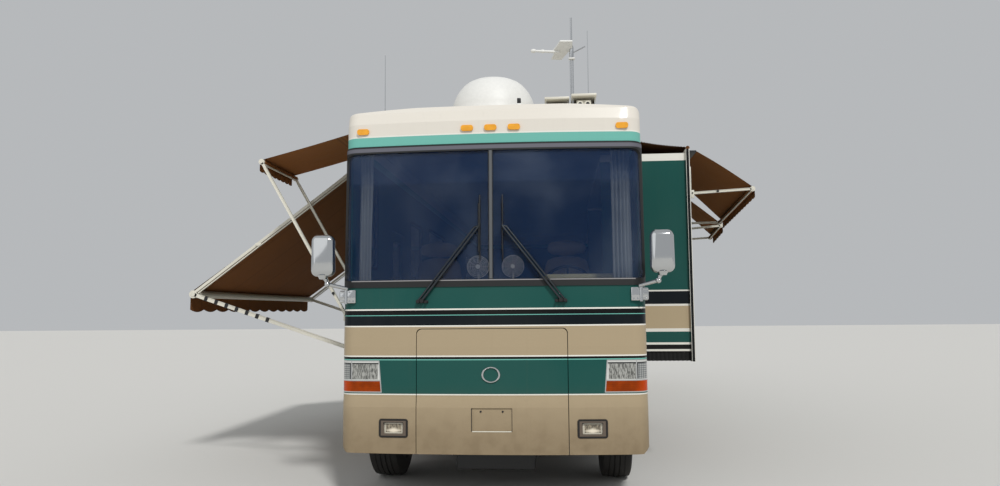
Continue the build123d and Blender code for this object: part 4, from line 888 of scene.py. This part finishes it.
# edges: dark strips at the recess's sides, painted shade; lip: a pale strip along its bottom, a painted
# highlight
plate = {"screwX": 0.090, "screwZ": 0.728, "low": 0.570, "high": 0.755, "back": 0.010,
         "lip": (0.160, 0.566, 0.573), "edges": ((-0.168, -0.163, 0.000), (0.164, 0.168, 0.004))}


def makeBadge():
    b, p = badge, plate
    bm = bmesh.new()
    centre = place(b["x"], skinY(0, b["z"]) - 0.004, b["z"])
    hoop(bm, centre, yAxis, b["radius"], b["wire"], 48, 10)
    tidy(bm)
    for v in bm.verts:
        v.co.z = centre.z + (v.co.z - centre.z) * b["flatten"]
    piece("front_badge", bm, "chrome", "access_panel")
    bm = bmesh.new()
    for x in (-p["screwX"], p["screwX"]):
        rod(bm, (x, 0.0125, p["screwZ"]), (x, 0.007, p["screwZ"]), 0.008, 12)
    # dark strips at the recess's two sides, painted shade
    for x0, x1, y in p["edges"]:
        box(bm, (x0, y, p["low"]), (x1, p["back"], p["high"]), 0.001, 1)
    piece("plate_screws_and_shadow_edges", bm, "black_metal", "access_panel")
    bm = bmesh.new()
    # a pale strip along the recess's bottom, a painted highlight
    x, z0, z1 = p["lip"]
    box(bm, (-x, -0.001, z0), (x, p["back"], z1), 0.001, 1)
    piece("plate_highlight_lip", bm, "white_arm", "access_panel")


makeBadge()
print("front made")

# roof: dome, light sensor, horns under covers, aerials, television mast
dome = {"x": -0.036, "y": 0.860, "base": 3.318, "radius": 0.400, "rim": 0.004, "wall": 0.125,
        "crown": ((0.970, 0.165), (0.930, 0.215), (0.875, 0.262), (0.805, 0.306), (0.72, 0.345),
                  (0.62, 0.377), (0.50, 0.400), (0.36, 0.414), (0.18, 0.421), (0.0003, 0.423))}
sensor = {"x": 0.229, "y": 0.420, "head": 3.409, "foot": 3.342}


def makeDome():
    r = dome["radius"]
    rim, wall = r + dome["rim"], r - 0.002
    outline = [(0.0001, 0.0), (r, 0.0), (rim, 0.012), (rim, 0.032), (wall, 0.040), (wall, dome["wall"])]
    outline += [(r * share, rise) for share, rise in dome["crown"]]
    bm = bmesh.new()
    ring(bm, outline, (dome["x"], dome["y"], dome["base"]), zAxis, 72)
    tidy(bm)
    piece("dome_shell", bm, "white_shell", sharp=60.0, replaces=["satellite_dome"])
    bm = bmesh.new()
    block(bm, (sensor["x"], sensor["y"], sensor["head"]), (0.034, 0.040, 0.050), 0.005)
    piece("roof_light_sensor", bm, "black_metal")
    bm = bmesh.new()
    block(bm, (sensor["x"], sensor["y"], sensor["foot"]), (0.046, 0.060, 0.084), 0.006)
    piece("roof_sensor_foot", bm, "white_shell")


horn = {"spots": ((0.567, 0.600), (0.809, 0.520)), "width": 0.198, "length": 0.330, "top": 3.462,
        "foot": 3.315, "bellZ": 3.386, "apart": 0.34, "lip": 0.013}


def makeHorns():
    w, top, foot, end = horn["width"] / 2, horn["top"], horn["foot"], horn["length"]
    lip = w + horn["lip"]
    bm, dark, pale = bmesh.new(), bmesh.new(), bmesh.new()
    for x, y in horn["spots"]:
        box(pale, (x - lip, y - 0.070, top - 0.012), (x + lip, y + end, top + 0.010), 0.004)
        for s in (-1, 1):
            box(bm, (x + s * (w - 0.006), y - 0.01, foot), (x + s * w, y + end - 0.01, top), 0.002)
            bell = place(x + s * w * horn["apart"], y, horn["bellZ"])
            pin(pale, yAxis, bell, -0.035, 0.06, 0.030, 24, 0.016)
            pin(bm, yAxis, bell, 0.05, 0.26, 0.014)
            pin(dark, yAxis, bell, -0.037, -0.032, 0.016, 20)
        box(pale, (x - 0.066, y - 0.010, 3.330), (x + 0.066, y + 0.27, 3.428), 0.008, 3)
        box(pale, (x - w, y - 0.012, foot), (x + w, y + 0.03, 3.338), 0.003)
        box(dark, (x - w + 0.008, y + 0.28, 3.320), (x + w - 0.008, y + 0.31, top - 0.004), 0.003)
    piece("horn_covers", bm, "chrome", replaces=["roof_horns"])
    piece("horn_shadows", dark, "black_metal")
    piece("horn_cases", pale, "white_arm")


whip = {"y": 0.76, "heights": ((-1.068, 0.660), (0.860, 0.830))}


def makeWhips():
    bm = bmesh.new()
    for x, height in whip["heights"]:
        for z0, z1, radius, sides, tip in ((-0.05, 0.05, 0.017, 20, 0.013), (0.05, 0.14, 0.009, 16, 0.007),
                                           (0.14, height, 0.0060, 10, 0.0040)):
            pin(bm, zAxis, (x, whip["y"], roofTop), z0, z1, radius, sides, tip)
    piece("whip_aerials", bm, "chrome")


# boom: its tip and root; plate: the outline of the swept plate over it
mast = {"x": 0.720, "y": 1.250, "foot": 3.407, "top": 4.097, "tip": 4.487, "apart": 0.011,
        "stay": (0.137, 0, 0.068), "boom": ((0.338, 1.250, 4.157), (0.600, 1.262, 4.140)),
        "plate": [(0.730, 1.157, 4.208), (0.607, 1.152, 4.211), (0.570, 1.214, 4.177), (0.535, 1.255, 4.152),
                  (0.549, 1.283, 4.133), (0.515, 1.364, 4.099), (0.619, 1.373, 4.095), (0.687, 1.282, 4.140),
                  (0.730, 1.220, 4.167)], "plateThick": (0, 0.010, 0.016),
        "collar": [(0.0001, -0.040), (0.018, -0.036), (0.022, -0.010), (0.022, 0.080), (0.016, 0.100),
                   (0.0001, 0.102)]}


def makeMast():
    x, y, foot, top = mast["x"], mast["y"], mast["foot"], mast["top"]
    bm = bmesh.new()
    box(bm, (x - 0.07, y - 0.06, roofTop - 0.03), (x + 0.07, y + 0.12, roofTop + 0.030), 0.012, 3)
    for s in (-1, 1):
        box(bm, (x + s * 0.026, y - 0.04, roofTop + 0.02), (x + s * 0.038, y + 0.04, roofTop + 0.110), 0.006)
    piece("mast_base", bm, "white_shell")
    bm = bmesh.new()
    for s in (-1, 1):
        rod(bm, (x + s * mast["apart"], y, foot - 0.024), (x + s * mast["apart"], y, top), 0.008, 14)
    block(bm, (x, y, foot + 0.012), (0.038, 0.024, 0.076), 0.004)
    rod(bm, (x, y, top), (x, y, mast["tip"]), 0.010, 12, 0.009)
    stay = place(x, y, top + 0.020)
    rod(bm, stay, stay + Vector(mast["stay"]), 0.006, 10)
    ring(bm, mast["collar"], (x, y, top), zAxis, 24)
    tidy(bm)
    piece("mast_tubes", bm, "polished_alloy", "mast")
    bm = bmesh.new()
    prism(bm, mast["plate"], mast["plateThick"])
    bmesh.ops.triangulate(bm, faces=bm.faces)
    tidy(bm)
    piece("mast_plate", bm, "white_shell", "mast")
    bm = bmesh.new()
    box(bm, (x - 0.030, y - 0.030, top - 0.045), (x + 0.032, y + 0.020, top - 0.030), 0.004)
    tip, root = [place(*spot) for spot in mast["boom"]]
    rod(bm, tip, root, 0.011, 16, 0.015)
    ball(bm, tip, 0.020, (1.5, 1, 1))
    ball(bm, tip.lerp(root, 0.35), 0.018, (1.4, 1, 1))
    tidy(bm)
    piece("mast_head", bm, "white_shell", "mast", sharp=50.0, replaces=["antenna_mast"])


makeDome()
makeHorns()
makeWhips()
makeMast()
print("roof made")

# curtains gathered in the corners of the windshield, from an inner edge of their own along one path
curtain = {"pleats": 11, "depth": 0.020, "bottom": 1.80, "top": 2.945, "columns": 200,
           "inner": {"left": (1.015, 0.176), "right": (1.050, 0.176)},
           "path": [(1.100, 0.188), (1.150, 0.208), (1.170, 0.255), (1.172, 0.432)]}


def makeCurtain(tag, sign):
    c = curtain
    spots = [Vector((*spot, 0)) for spot in [c["inner"][tag]] + c["path"]]
    lengths = [(b - a).length for a, b in zip(spots, spots[1:])]

    def walk(u):
        left = u * sum(lengths)
        for a, b, run in zip(spots, spots[1:], lengths):
            if left <= run:
                break
            left -= run
        return a.lerp(b, min(1.0, left / run)), (b - a).normalized()

    def lay(u, v):
        spot, along = walk(u)
        wave = math.sin(math.tau * c["pleats"] * u + 0.5 * math.sin(6 * v))
        fold = c["depth"] * wave * (0.7 + 0.3 * math.sin(11 * u))
        z = c["bottom"] + (c["top"] - c["bottom"]) * v
        spot = spot + Vector((along.y, -along.x, 0)) * fold
        return place(sign * spot.x, spot.y + leanY(z), z)

    row = [lay(i / c["columns"], 0.5) for i in range(c["columns"] + 1)]
    sheet = piece("curtain_" + tag, clothGrid(c["columns"], 10, lay), "curtain_cloth", sharp=180.0,
                  replaces=["curtains"] if sign > 0 else [])


for tag, sign in sides:
    makeCurtain(tag, sign)

# dash with its hood, steering wheel and two fans
dash = {"halfWidth": 1.2345, "gauges": (-0.15, -0.06, 0.06, 0.15), "gaugeY": 0.802, "gaugeZ": 1.755,
        "outline": [(0.420, 1.122), (0.420, 1.720), (0.510, 1.758), (0.680, 1.738), (0.800, 1.620),
                    (0.740, 1.380), (0.530, 1.500), (0.530, 1.122)],
        "hood": ((0.42, 0.52, 1.690), (1.10, 0.80, 1.872)), "hoodFall": 0.045}
wheel = {"x": 0.64, "y": 0.890, "z": 1.780, "radius": 0.210, "wire": 0.014, "lean": (0, 0.210, 0.170),
         "column": (0.740, 1.655), "spokes": (90, 200, 340)}
# hoops: each wire ring's share of the radius and its place along the fan's axis
fan = {"x": 0.155, "y": 0.480, "z": 1.935, "radius": 0.096, "wires": 12, "blades": 4, "foot": 1.755,
       "hoops": ((1.0, 0.0), (1.0, 0.022), (0.86, -0.009), (0.70, -0.013), (0.54, -0.016), (0.38, -0.019))}


def makeDash():
    d, halfWidth = dash, dash["halfWidth"]
    bm = bmesh.new()
    prism(bm, [(-halfWidth, y, z) for y, z in d["outline"]], (2 * halfWidth, 0, 0))
    tidy(bm)
    piece("dash_body", bm, "dash_skin", sharp=40.0, replaces=["dashboard"])
    bm = bmesh.new()
    low, high = [place(*spot) for spot in d["hood"]]
    for v in box(bm, low, high, 0.045, 5):  # it falls towards the driver
        v.co.z -= d["hoodFall"] * max(0.0, (v.co.y - low.y) / (high.y - low.y))
    piece("instrument_hood", bm, "dash_hood", sharp=50.0)
    bm = bmesh.new()
    for x in d["gauges"]:
        hoop(bm, (wheel["x"] + x, d["gaugeY"], d["gaugeZ"]), yAxis, 0.038, 0.004, 24)
    tidy(bm)
    piece("gauge_rings", bm, "chrome")


def makeWheel():
    w = wheel
    lean = Vector(w["lean"]).normalized()
    centre = place(w["x"], w["y"], w["z"])
    bm = bmesh.new()
    hoop(bm, centre, lean, w["radius"], w["wire"], 56, 10)
    ring(bm, [(0.0001, -0.02), (0.05, -0.02), (0.06, 0.0), (0.05, 0.018), (0.0001, 0.022)], centre, lean, 28)
    turn = lean.to_track_quat("Z", "Y")
    for degrees in w["spokes"]:
        a = math.radians(degrees)
        spoke = turn @ Vector((math.cos(a), math.sin(a), 0))
        rod(bm, centre, centre + spoke * (w["radius"] - 0.005), 0.010, 10)
    rod(bm, (w["x"], *w["column"]), centre, 0.024)
    piece("steering_wheel", bm, "black_metal")


def makeFans():
    f = fan
    bm, dark = bmesh.new(), bmesh.new()
    for s in (-1, 1):
        centre = place(s * f["x"], f["y"], f["z"])
        for share, along in f["hoops"]:
            hoop(bm, centre + yAxis * along, yAxis, f["radius"] * share, 0.0022, 36, 6)
        for i in range(f["wires"]):
            a = math.tau * i / f["wires"]
            out = Vector((math.cos(a), 0, math.sin(a)))
            tip = centre + out * f["radius"] - yAxis * 0.006
            rod(bm, centre + out * 0.02 - yAxis * 0.020, tip, 0.0018, 6)
        for i in range(f["blades"]):
            blade = block(dark, centre + Vector((0.047, -0.001, 0)), (0.066, 0.004, 0.044), 0.0015, 1)
            turn = Matrix.Rotation(math.tau * i / f["blades"] + 0.3, 3, "Y")
            bmesh.ops.rotate(dark, verts=blade, cent=centre, matrix=turn)
        pin(bm, yAxis, centre, -0.024, 0.030, 0.020, 20)
        pin(bm, yAxis, centre, 0.028, 0.085, 0.034, 24, 0.026)
        rod(bm, (s * f["x"], f["y"] + 0.040, f["foot"]), centre + yAxis * 0.040, 0.009, 12)
    piece("dash_fans", bm, "white_arm")
    piece("fan_blades", dark, "black_metal")


makeDash()
makeWheel()
makeFans()

# seats: pedestal, cushion, back, head roll and arm pads
# pads: inset from the seat's sides, y and z spans from its front and the floor, and how far the middle swells
seat = {"x": 0.64, "front": 0.86, "floor": 1.12, "width": 0.50, "armX": 0.28, "armHalf": 0.028,
        "pads": {"cushion": (0.0, (0.0, 0.48), (0.33, 0.45), 0.018),
                 "back": (0.02, (0.43, 0.55), (0.42, 0.96), 0.02),
                 "head": (0.06, (0.43, 0.545), (0.965, 1.115), 0.018)},
        "stand": [(0.0001, 0.0), (0.17, 0.0), (0.15, 0.03), (0.07, 0.06), (0.06, 0.30), (0.12, 0.325),
                  (0.0001, 0.33)]}


def cushion(name, low, high, crown, replaces=()):
    low, high = place(*low), place(*high)
    middle, reach = (low + high) / 2, (high - low) / 2
    bm = bmesh.new()
    bmesh.ops.create_cube(bm, size=2.0)
    bmesh.ops.subdivide_edges(bm, edges=bm.edges, cuts=5, use_grid_fill=True)
    for v in bm.verts:
        a, b, c = v.co
        aa, bb, cc = a * a, b * b, c * c
        edge = 1 - 0.10 * (aa * bb + bb * cc + aa * cc) / 1.5
        swell = Vector((a * (1 - bb) * (1 - cc), b * (1 - aa) * (1 - cc), c * (1 - aa) * (1 - bb)))
        v.co = middle + Vector((a * reach.x, b * reach.y, c * reach.z)) * edge + (swell - v.co * 0.8) * crown
    obj = piece(name, bm, "seat_leather", sharp=180.0, replaces=replaces)
    smooth = obj.modifiers.new("smooth", "SUBSURF")
    smooth.levels = smooth.render_levels = 1


def makeSeat(tag, sign):
    s = seat
    x, y, z = sign * s["x"], s["front"], s["floor"]
    for pad, (inset, (y0, y1), (z0, z1), crown) in s["pads"].items():
        reach = s["width"] / 2 - inset
        cushion("seat_%s_%s" % (pad, tag), (x - reach, y + y0, z + z0), (x + reach, y + y1, z + z1), crown,
                ["seats"] if sign > 0 and pad == "cushion" else [])
    bm = bmesh.new()
    ring(bm, s["stand"], (x, y + 0.26, z), zAxis, 32)
    for side, letter in ((-1, "a"), (1, "b")):
        ax, wide = x + side * s["armX"], s["armHalf"]
        cushion("seat_arm_%s_%s" % (tag, letter), (ax - wide, y + 0.09, z + 0.545),
                (ax + wide, y + 0.46, z + 0.598), 0.008)
        box(bm, (ax - 0.012, y + 0.40, z + 0.38), (ax + 0.012, y + 0.44, z + 0.55), 0.004)
    tidy(bm)
    piece("seat_stand_" + tag, bm, "black_metal", sharp=40.0)


for tag, sign in (("driver", 1), ("guest", -1)):
    makeSeat(tag, sign)
print("cab made")

# side and rear hardware
# windows: side, front, back, sill, head
sideWindows = [(1, 0.56, 1.21, 1.95, 2.85), (1, 5.60, 6.40, 1.95, 2.65), (1, 8.30, 9.50, 1.95, 2.65),
               (-1, 0.56, 1.21, 1.95, 2.85), (-1, 2.85, 3.65, 1.95, 2.65), (-1, 4.15, 5.65, 1.90, 2.70),
               (-1, 6.60, 7.10, 2.15, 2.65), (-1, 8.30, 9.50, 1.95, 2.65)]
slideWindows = [(1.64, 2.98, 1.85, 2.60), (3.30, 3.79, 1.85, 2.40)]
bar = {"out": (-0.014, -0.001), "half": 0.012, "crossHalf": 0.009, "margin": 0.03, "share": 0.34}


def makeWindowBars():
    wide, cross, gap = bar["half"], bar["crossHalf"], bar["margin"]
    bm = bmesh.new()
    for side, y0, y1, z0, z1 in sideWindows:
        y, z = (y0 + y1) / 2, z0 + (z1 - z0) * bar["share"]
        sideBox(bm, side, bar["out"], (y - wide, y + wide), (z0 + gap, z1 - gap))
        sideBox(bm, side, bar["out"], (y0 + gap, y), (z - cross, z + cross))
    piece("side_window_bars", bm, "black_rubber")
    bm = bmesh.new()
    for y0, y1, z0, z1 in slideWindows:
        y = (y0 + y1) / 2
        sideBox(bm, 1, bar["out"], (y - wide, y + wide), (z0 + gap, z1 - gap), face=slideFace)
    piece("slide_window_bars", bm, "black_rubber", "slide_out_room")


bay = {"front": 2.620, "pitch": 1.320, "width": 1.256, "latchOff": 0.38, "latch": (0.475, 0.535),
       "handle": (0.492, 0.514)}
lock = {"y": (2.350, 2.425), "z": (1.215, 1.355), "handleY": (2.362, 2.412), "handleZ": (1.300, 1.325),
        "keyY": 2.388, "keyZ": 1.245}
grab = {"y": 2.56, "out": 0.055, "ends": (1.15, 1.79), "over": 0.012}


def makeLatches():
    for tag, side in sides:
        for i in range(3):
            middle = bay["front"] + i * bay["pitch"] + bay["width"] / 2
            bm = bmesh.new()
            for y in (middle - bay["latchOff"], middle + bay["latchOff"]):
                sideBox(bm, side, (-0.002, 0.005), (y - 0.055, y + 0.055), bay["latch"])
                sideBox(bm, side, (0, 0.014), (y - 0.042, y + 0.042), bay["handle"], 0.005, 3)
            piece("bay_latch_%s_%d" % (tag, i + 1), bm, "chrome", "body_bay_door_%s_%d" % (tag, i + 1))
    bm = bmesh.new()
    sideBox(bm, -1, (-0.002, 0.004), lock["y"], lock["z"])
    sideBox(bm, -1, (0.020, 0.040), lock["handleY"], lock["handleZ"], 0.006, 3)
    pin(bm, xAxis, (-half, lock["keyY"], lock["keyZ"]), -0.006, 0.001, 0.014, 20)
    piece("entry_door_lock", bm, "chrome", "entry_door_leaf")
    bm = bmesh.new()
    for z in grab["ends"]:
        pin(bm, xAxis, (-half, grab["y"], z), -grab["out"], 0.001, 0.012)
    low, high = [(-half - grab["out"], grab["y"], z) for z in grab["ends"]]
    rod(bm, place(*low) - zAxis * grab["over"], place(*high) + zAxis * grab["over"], 0.013, 20)
    piece("entry_grab_rail", bm, "polished_alloy")


# vents: fridge and water heater on the driver's side, furnace on the kerb side
vents = [(1, 6.75, 7.30, 1.25, 1.75), (1, 5.55, 5.95, 1.25, 1.60), (-1, 7.40, 7.72, 1.25, 1.50)]
slat = {"pitch": 0.045, "height": 0.020, "margin": 0.03}
drip = {"y": (0.46, 10.71), "z": (3.192, 3.202)}
fuelDoor = {"y": (2.02, 2.28), "z": (0.60, 0.84), "leafY": (2.032, 2.268), "leafZ": (0.612, 0.828)}
sideLamps = {"z": 0.93, "spots": (("lamp_amber", 0.462), ("lamp_amber", 5.70), ("lamp_red", 10.60))}


def makeSideTrim():
    bm = bmesh.new()
    for side in (-1, 1):
        sideBox(bm, side, (-0.002, 0.007), drip["y"], drip["z"])
    piece("drip_rails", bm, "white_arm")
    bm = bmesh.new()
    for side, y0, y1, z0, z1 in vents:
        sideBox(bm, side, (-0.002, 0.005), (y0, y1), (z0, z1))
        gap = slat["margin"]
        for i in range(int((z1 - z0) / slat["pitch"])):
            z = z0 + gap + i * slat["pitch"]
            sideBox(bm, side, (0, 0.010), (y0 + gap, y1 - gap), (z, z + slat["height"]), 0.004)
    piece("side_vents", bm, "white_arm")
    bm = bmesh.new()
    sideBox(bm, 1, (-0.002, 0.003), fuelDoor["y"], fuelDoor["z"])
    sideBox(bm, 1, (0, 0.006), fuelDoor["leafY"], fuelDoor["leafZ"], 0.003)
    piece("fuel_door", bm, "coach_paint")
    for key, y in sideLamps["spots"]:
        z = sideLamps["z"]
        bm = bmesh.new()
        for side in (-1, 1):
            sideBox(bm, side, (-0.002, 0.012), (y, y + 0.060), (z - 0.018, z + 0.018), 0.008, 3)
        piece("side_lamps_%d" % round(y * 100), bm, key)


# the lamp cluster's bars and its clear reversing part stand at shares of its height
rear = {"markers": (-1.05, -0.20, 0.0, 0.20, 1.05), "markerY": (11.005, 11.052), "markerZ": (3.055, 3.100),
        "lampWidth": 0.160, "bars": (0.34, 0.60), "reversing": (0.37, 0.57), "lockZ": 0.045,
        "plate": (0.165, 0.400, 0.560)}


def makeRear():
    r = rear
    bm = bmesh.new()
    (y0, y1), (z0, z1) = r["markerY"], r["markerZ"]
    for x in r["markers"]:
        box(bm, (x - 0.05, y0, z0), (x + 0.05, y1, z1), 0.012, 3)
    piece("rear_markers", bm, "lamp_red")
    low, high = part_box("tail_lamps")
    tall, back = high.z - low.z, high.y - frontY
    bm, pale = bmesh.new(), bmesh.new()
    for sign in (-1, 1):
        x0, x1 = sorted(sign * (high.x - centreX - inset) for inset in (0.0, r["lampWidth"]))
        for share in r["bars"]:
            z = low.z + tall * share
            box(bm, (x0 + 0.004, back - 0.006, z - 0.005), (x1 - 0.004, back + 0.004, z + 0.005), 0.002)
        z0, z1 = [low.z + tall * share for share in r["reversing"]]
        box(pale, (x0 + 0.012, back - 0.006, z0), (x1 - 0.012, back + 0.003, z1), 0.002)
    piece("tail_lamp_bars", bm, "chrome")
    piece("reversing_lamps", pale, "white_shell")
    low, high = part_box("engine_hatch")
    back = high.y - frontY
    bm = bmesh.new()
    pin(bm, yAxis, (0, back, low.z + r["lockZ"]), -0.004, 0.012, 0.020, 24)
    x, z0, z1 = r["plate"]
    box(bm, (-x, back - 0.012, low.z + z0), (x, back + 0.002, low.z + z1), 0.003)
    piece("rear_plate_holder", bm, "polished_alloy", "rear_hatch")


tray = {"low": (-0.335, 0.360, 0.196), "high": (0.335, 0.940, 0.440), "hangerX": 0.36}


def makeUnderside():  # the tray hung under the front
    bm = bmesh.new()
    box(bm, tray["low"], tray["high"], 0.014, 3)
    for x in (-tray["hangerX"], tray["hangerX"]):
        box(bm, (x - 0.02, 0.42, 0.30), (x + 0.02, 0.88, 0.47), 0.004)
    piece("front_tray", bm, "black_metal")


# inside the knee there is room for the steered tyre, and from there the lining narrows to the mouth
housing = {"axles": (1.100, 7.300), "axleZ": 0.510, "radius": 0.645, "mouth": 0.580, "foot": 0.36,
           "ceiling": 1.074, "inner": 0.560, "knee": 1.110, "outer": 1.232, "steps": 24}


def makeHousings():  # dark linings inside the wheel arches
    h, radius = housing, housing["radius"]
    bm = bmesh.new()
    for y in h["axles"]:
        turns = [math.pi * i / h["steps"] for i in range(h["steps"] + 1)]
        arch = [(y - radius * math.cos(a), h["axleZ"] + radius * math.sin(a)) for a in turns]
        row = [(y - radius, h["foot"])] + [(along, min(h["ceiling"], z)) for along, z in arch]
        row += [(y + radius, h["foot"])]
        for side in (-1, 1):
            wall = bm.faces.new([bm.verts.new(place(side * h["inner"], *spot)) for spot in row])
            rim = [e for e in wall.edges if max(v.co.z for v in e.verts) > h["foot"] + 0.001]
            for x, width in ((h["knee"], 1.0), (h["outer"], h["mouth"] / radius)):
                made = bmesh.ops.extrude_edge_only(bm, edges=rim)
                verts = set(newVerts(made))
                edges = [g for g in made["geom"] if isinstance(g, bmesh.types.BMEdge)]
                rim = [e for e in edges if verts.issuperset(e.verts)]
                for v in verts:
                    v.co = place(side * x, y + (v.co.y - frontY - y) * width, v.co.z)
    bmesh.ops.recalc_face_normals(bm, faces=bm.faces)
    bmesh.ops.solidify(bm, geom=bm.faces, thickness=0.003)
    piece("wheel_housings", bm, "black_metal", sharp=50.0)


makeUnderside()
makeHousings()
makeWindowBars()
makeLatches()
makeSideTrim()
makeRear()
print("hardware made")

# floor, light and camera; each sun: strength, angle of its disc, and how it is turned, in degrees
studio = {"floorSize": 120.0, "floorColour": "#cfcdc8", "skyColour": "#eef1f4", "sky": 0.55,
          "suns": {"key": (2.0, 8, (44, 0, 24)), "fill": (0.35, 60, (62, 0, -40))}}
camera = {"x": 0.568, "back": 6.209, "height": 1.54, "yaw": 4.49, "pitch": 5.14, "roll": -0.5, "focal": 27.27}


def stageFloor():
    bm = bmesh.new()
    bmesh.ops.create_grid(bm, x_segments=1, y_segments=1, size=studio["floorSize"] / 2)
    skin = Tree("studio_floor").surface(Base_Color=studio["floorColour"], Roughness=0.9)
    addMesh("studio_floor", bm, skin)


def stageLight():
    world = bpy.data.worlds.new("studio")
    bpy.context.scene.world = world
    world.use_nodes = True
    sky = world.node_tree.nodes["Background"]
    sky.inputs[0].default_value = rgb(studio["skyColour"])
    sky.inputs[1].default_value = studio["sky"]
    for name, (power, angle, turn) in studio["suns"].items():
        sun = bpy.data.lights.new(name, "SUN")
        sun.energy = power
        sun.angle = math.radians(angle)
        addObject(name, sun).rotation_euler = [math.radians(a) for a in turn]


def stageCamera():
    data = bpy.data.cameras.new("camera")
    data.sensor_fit = "HORIZONTAL"
    data.sensor_width = 36.0
    data.lens = camera["focal"]
    data.clip_end = 300.0
    eye = Matrix.Translation(place(camera["x"], -camera["back"], camera["height"]))
    for degrees, axis in ((camera["yaw"], "Z"), (90 + camera["pitch"], "X"), (camera["roll"], "Z")):
        eye = eye @ Matrix.Rotation(math.radians(degrees), 4, axis)
    bpy.context.scene.camera = addObject("camera", data)
    bpy.context.scene.camera.matrix_world = eye


stageFloor()
stageLight()
stageCamera()
bpy.context.scene.view_settings.view_transform = "Standard"
print("studio set")

bpy.context.view_layer.update()
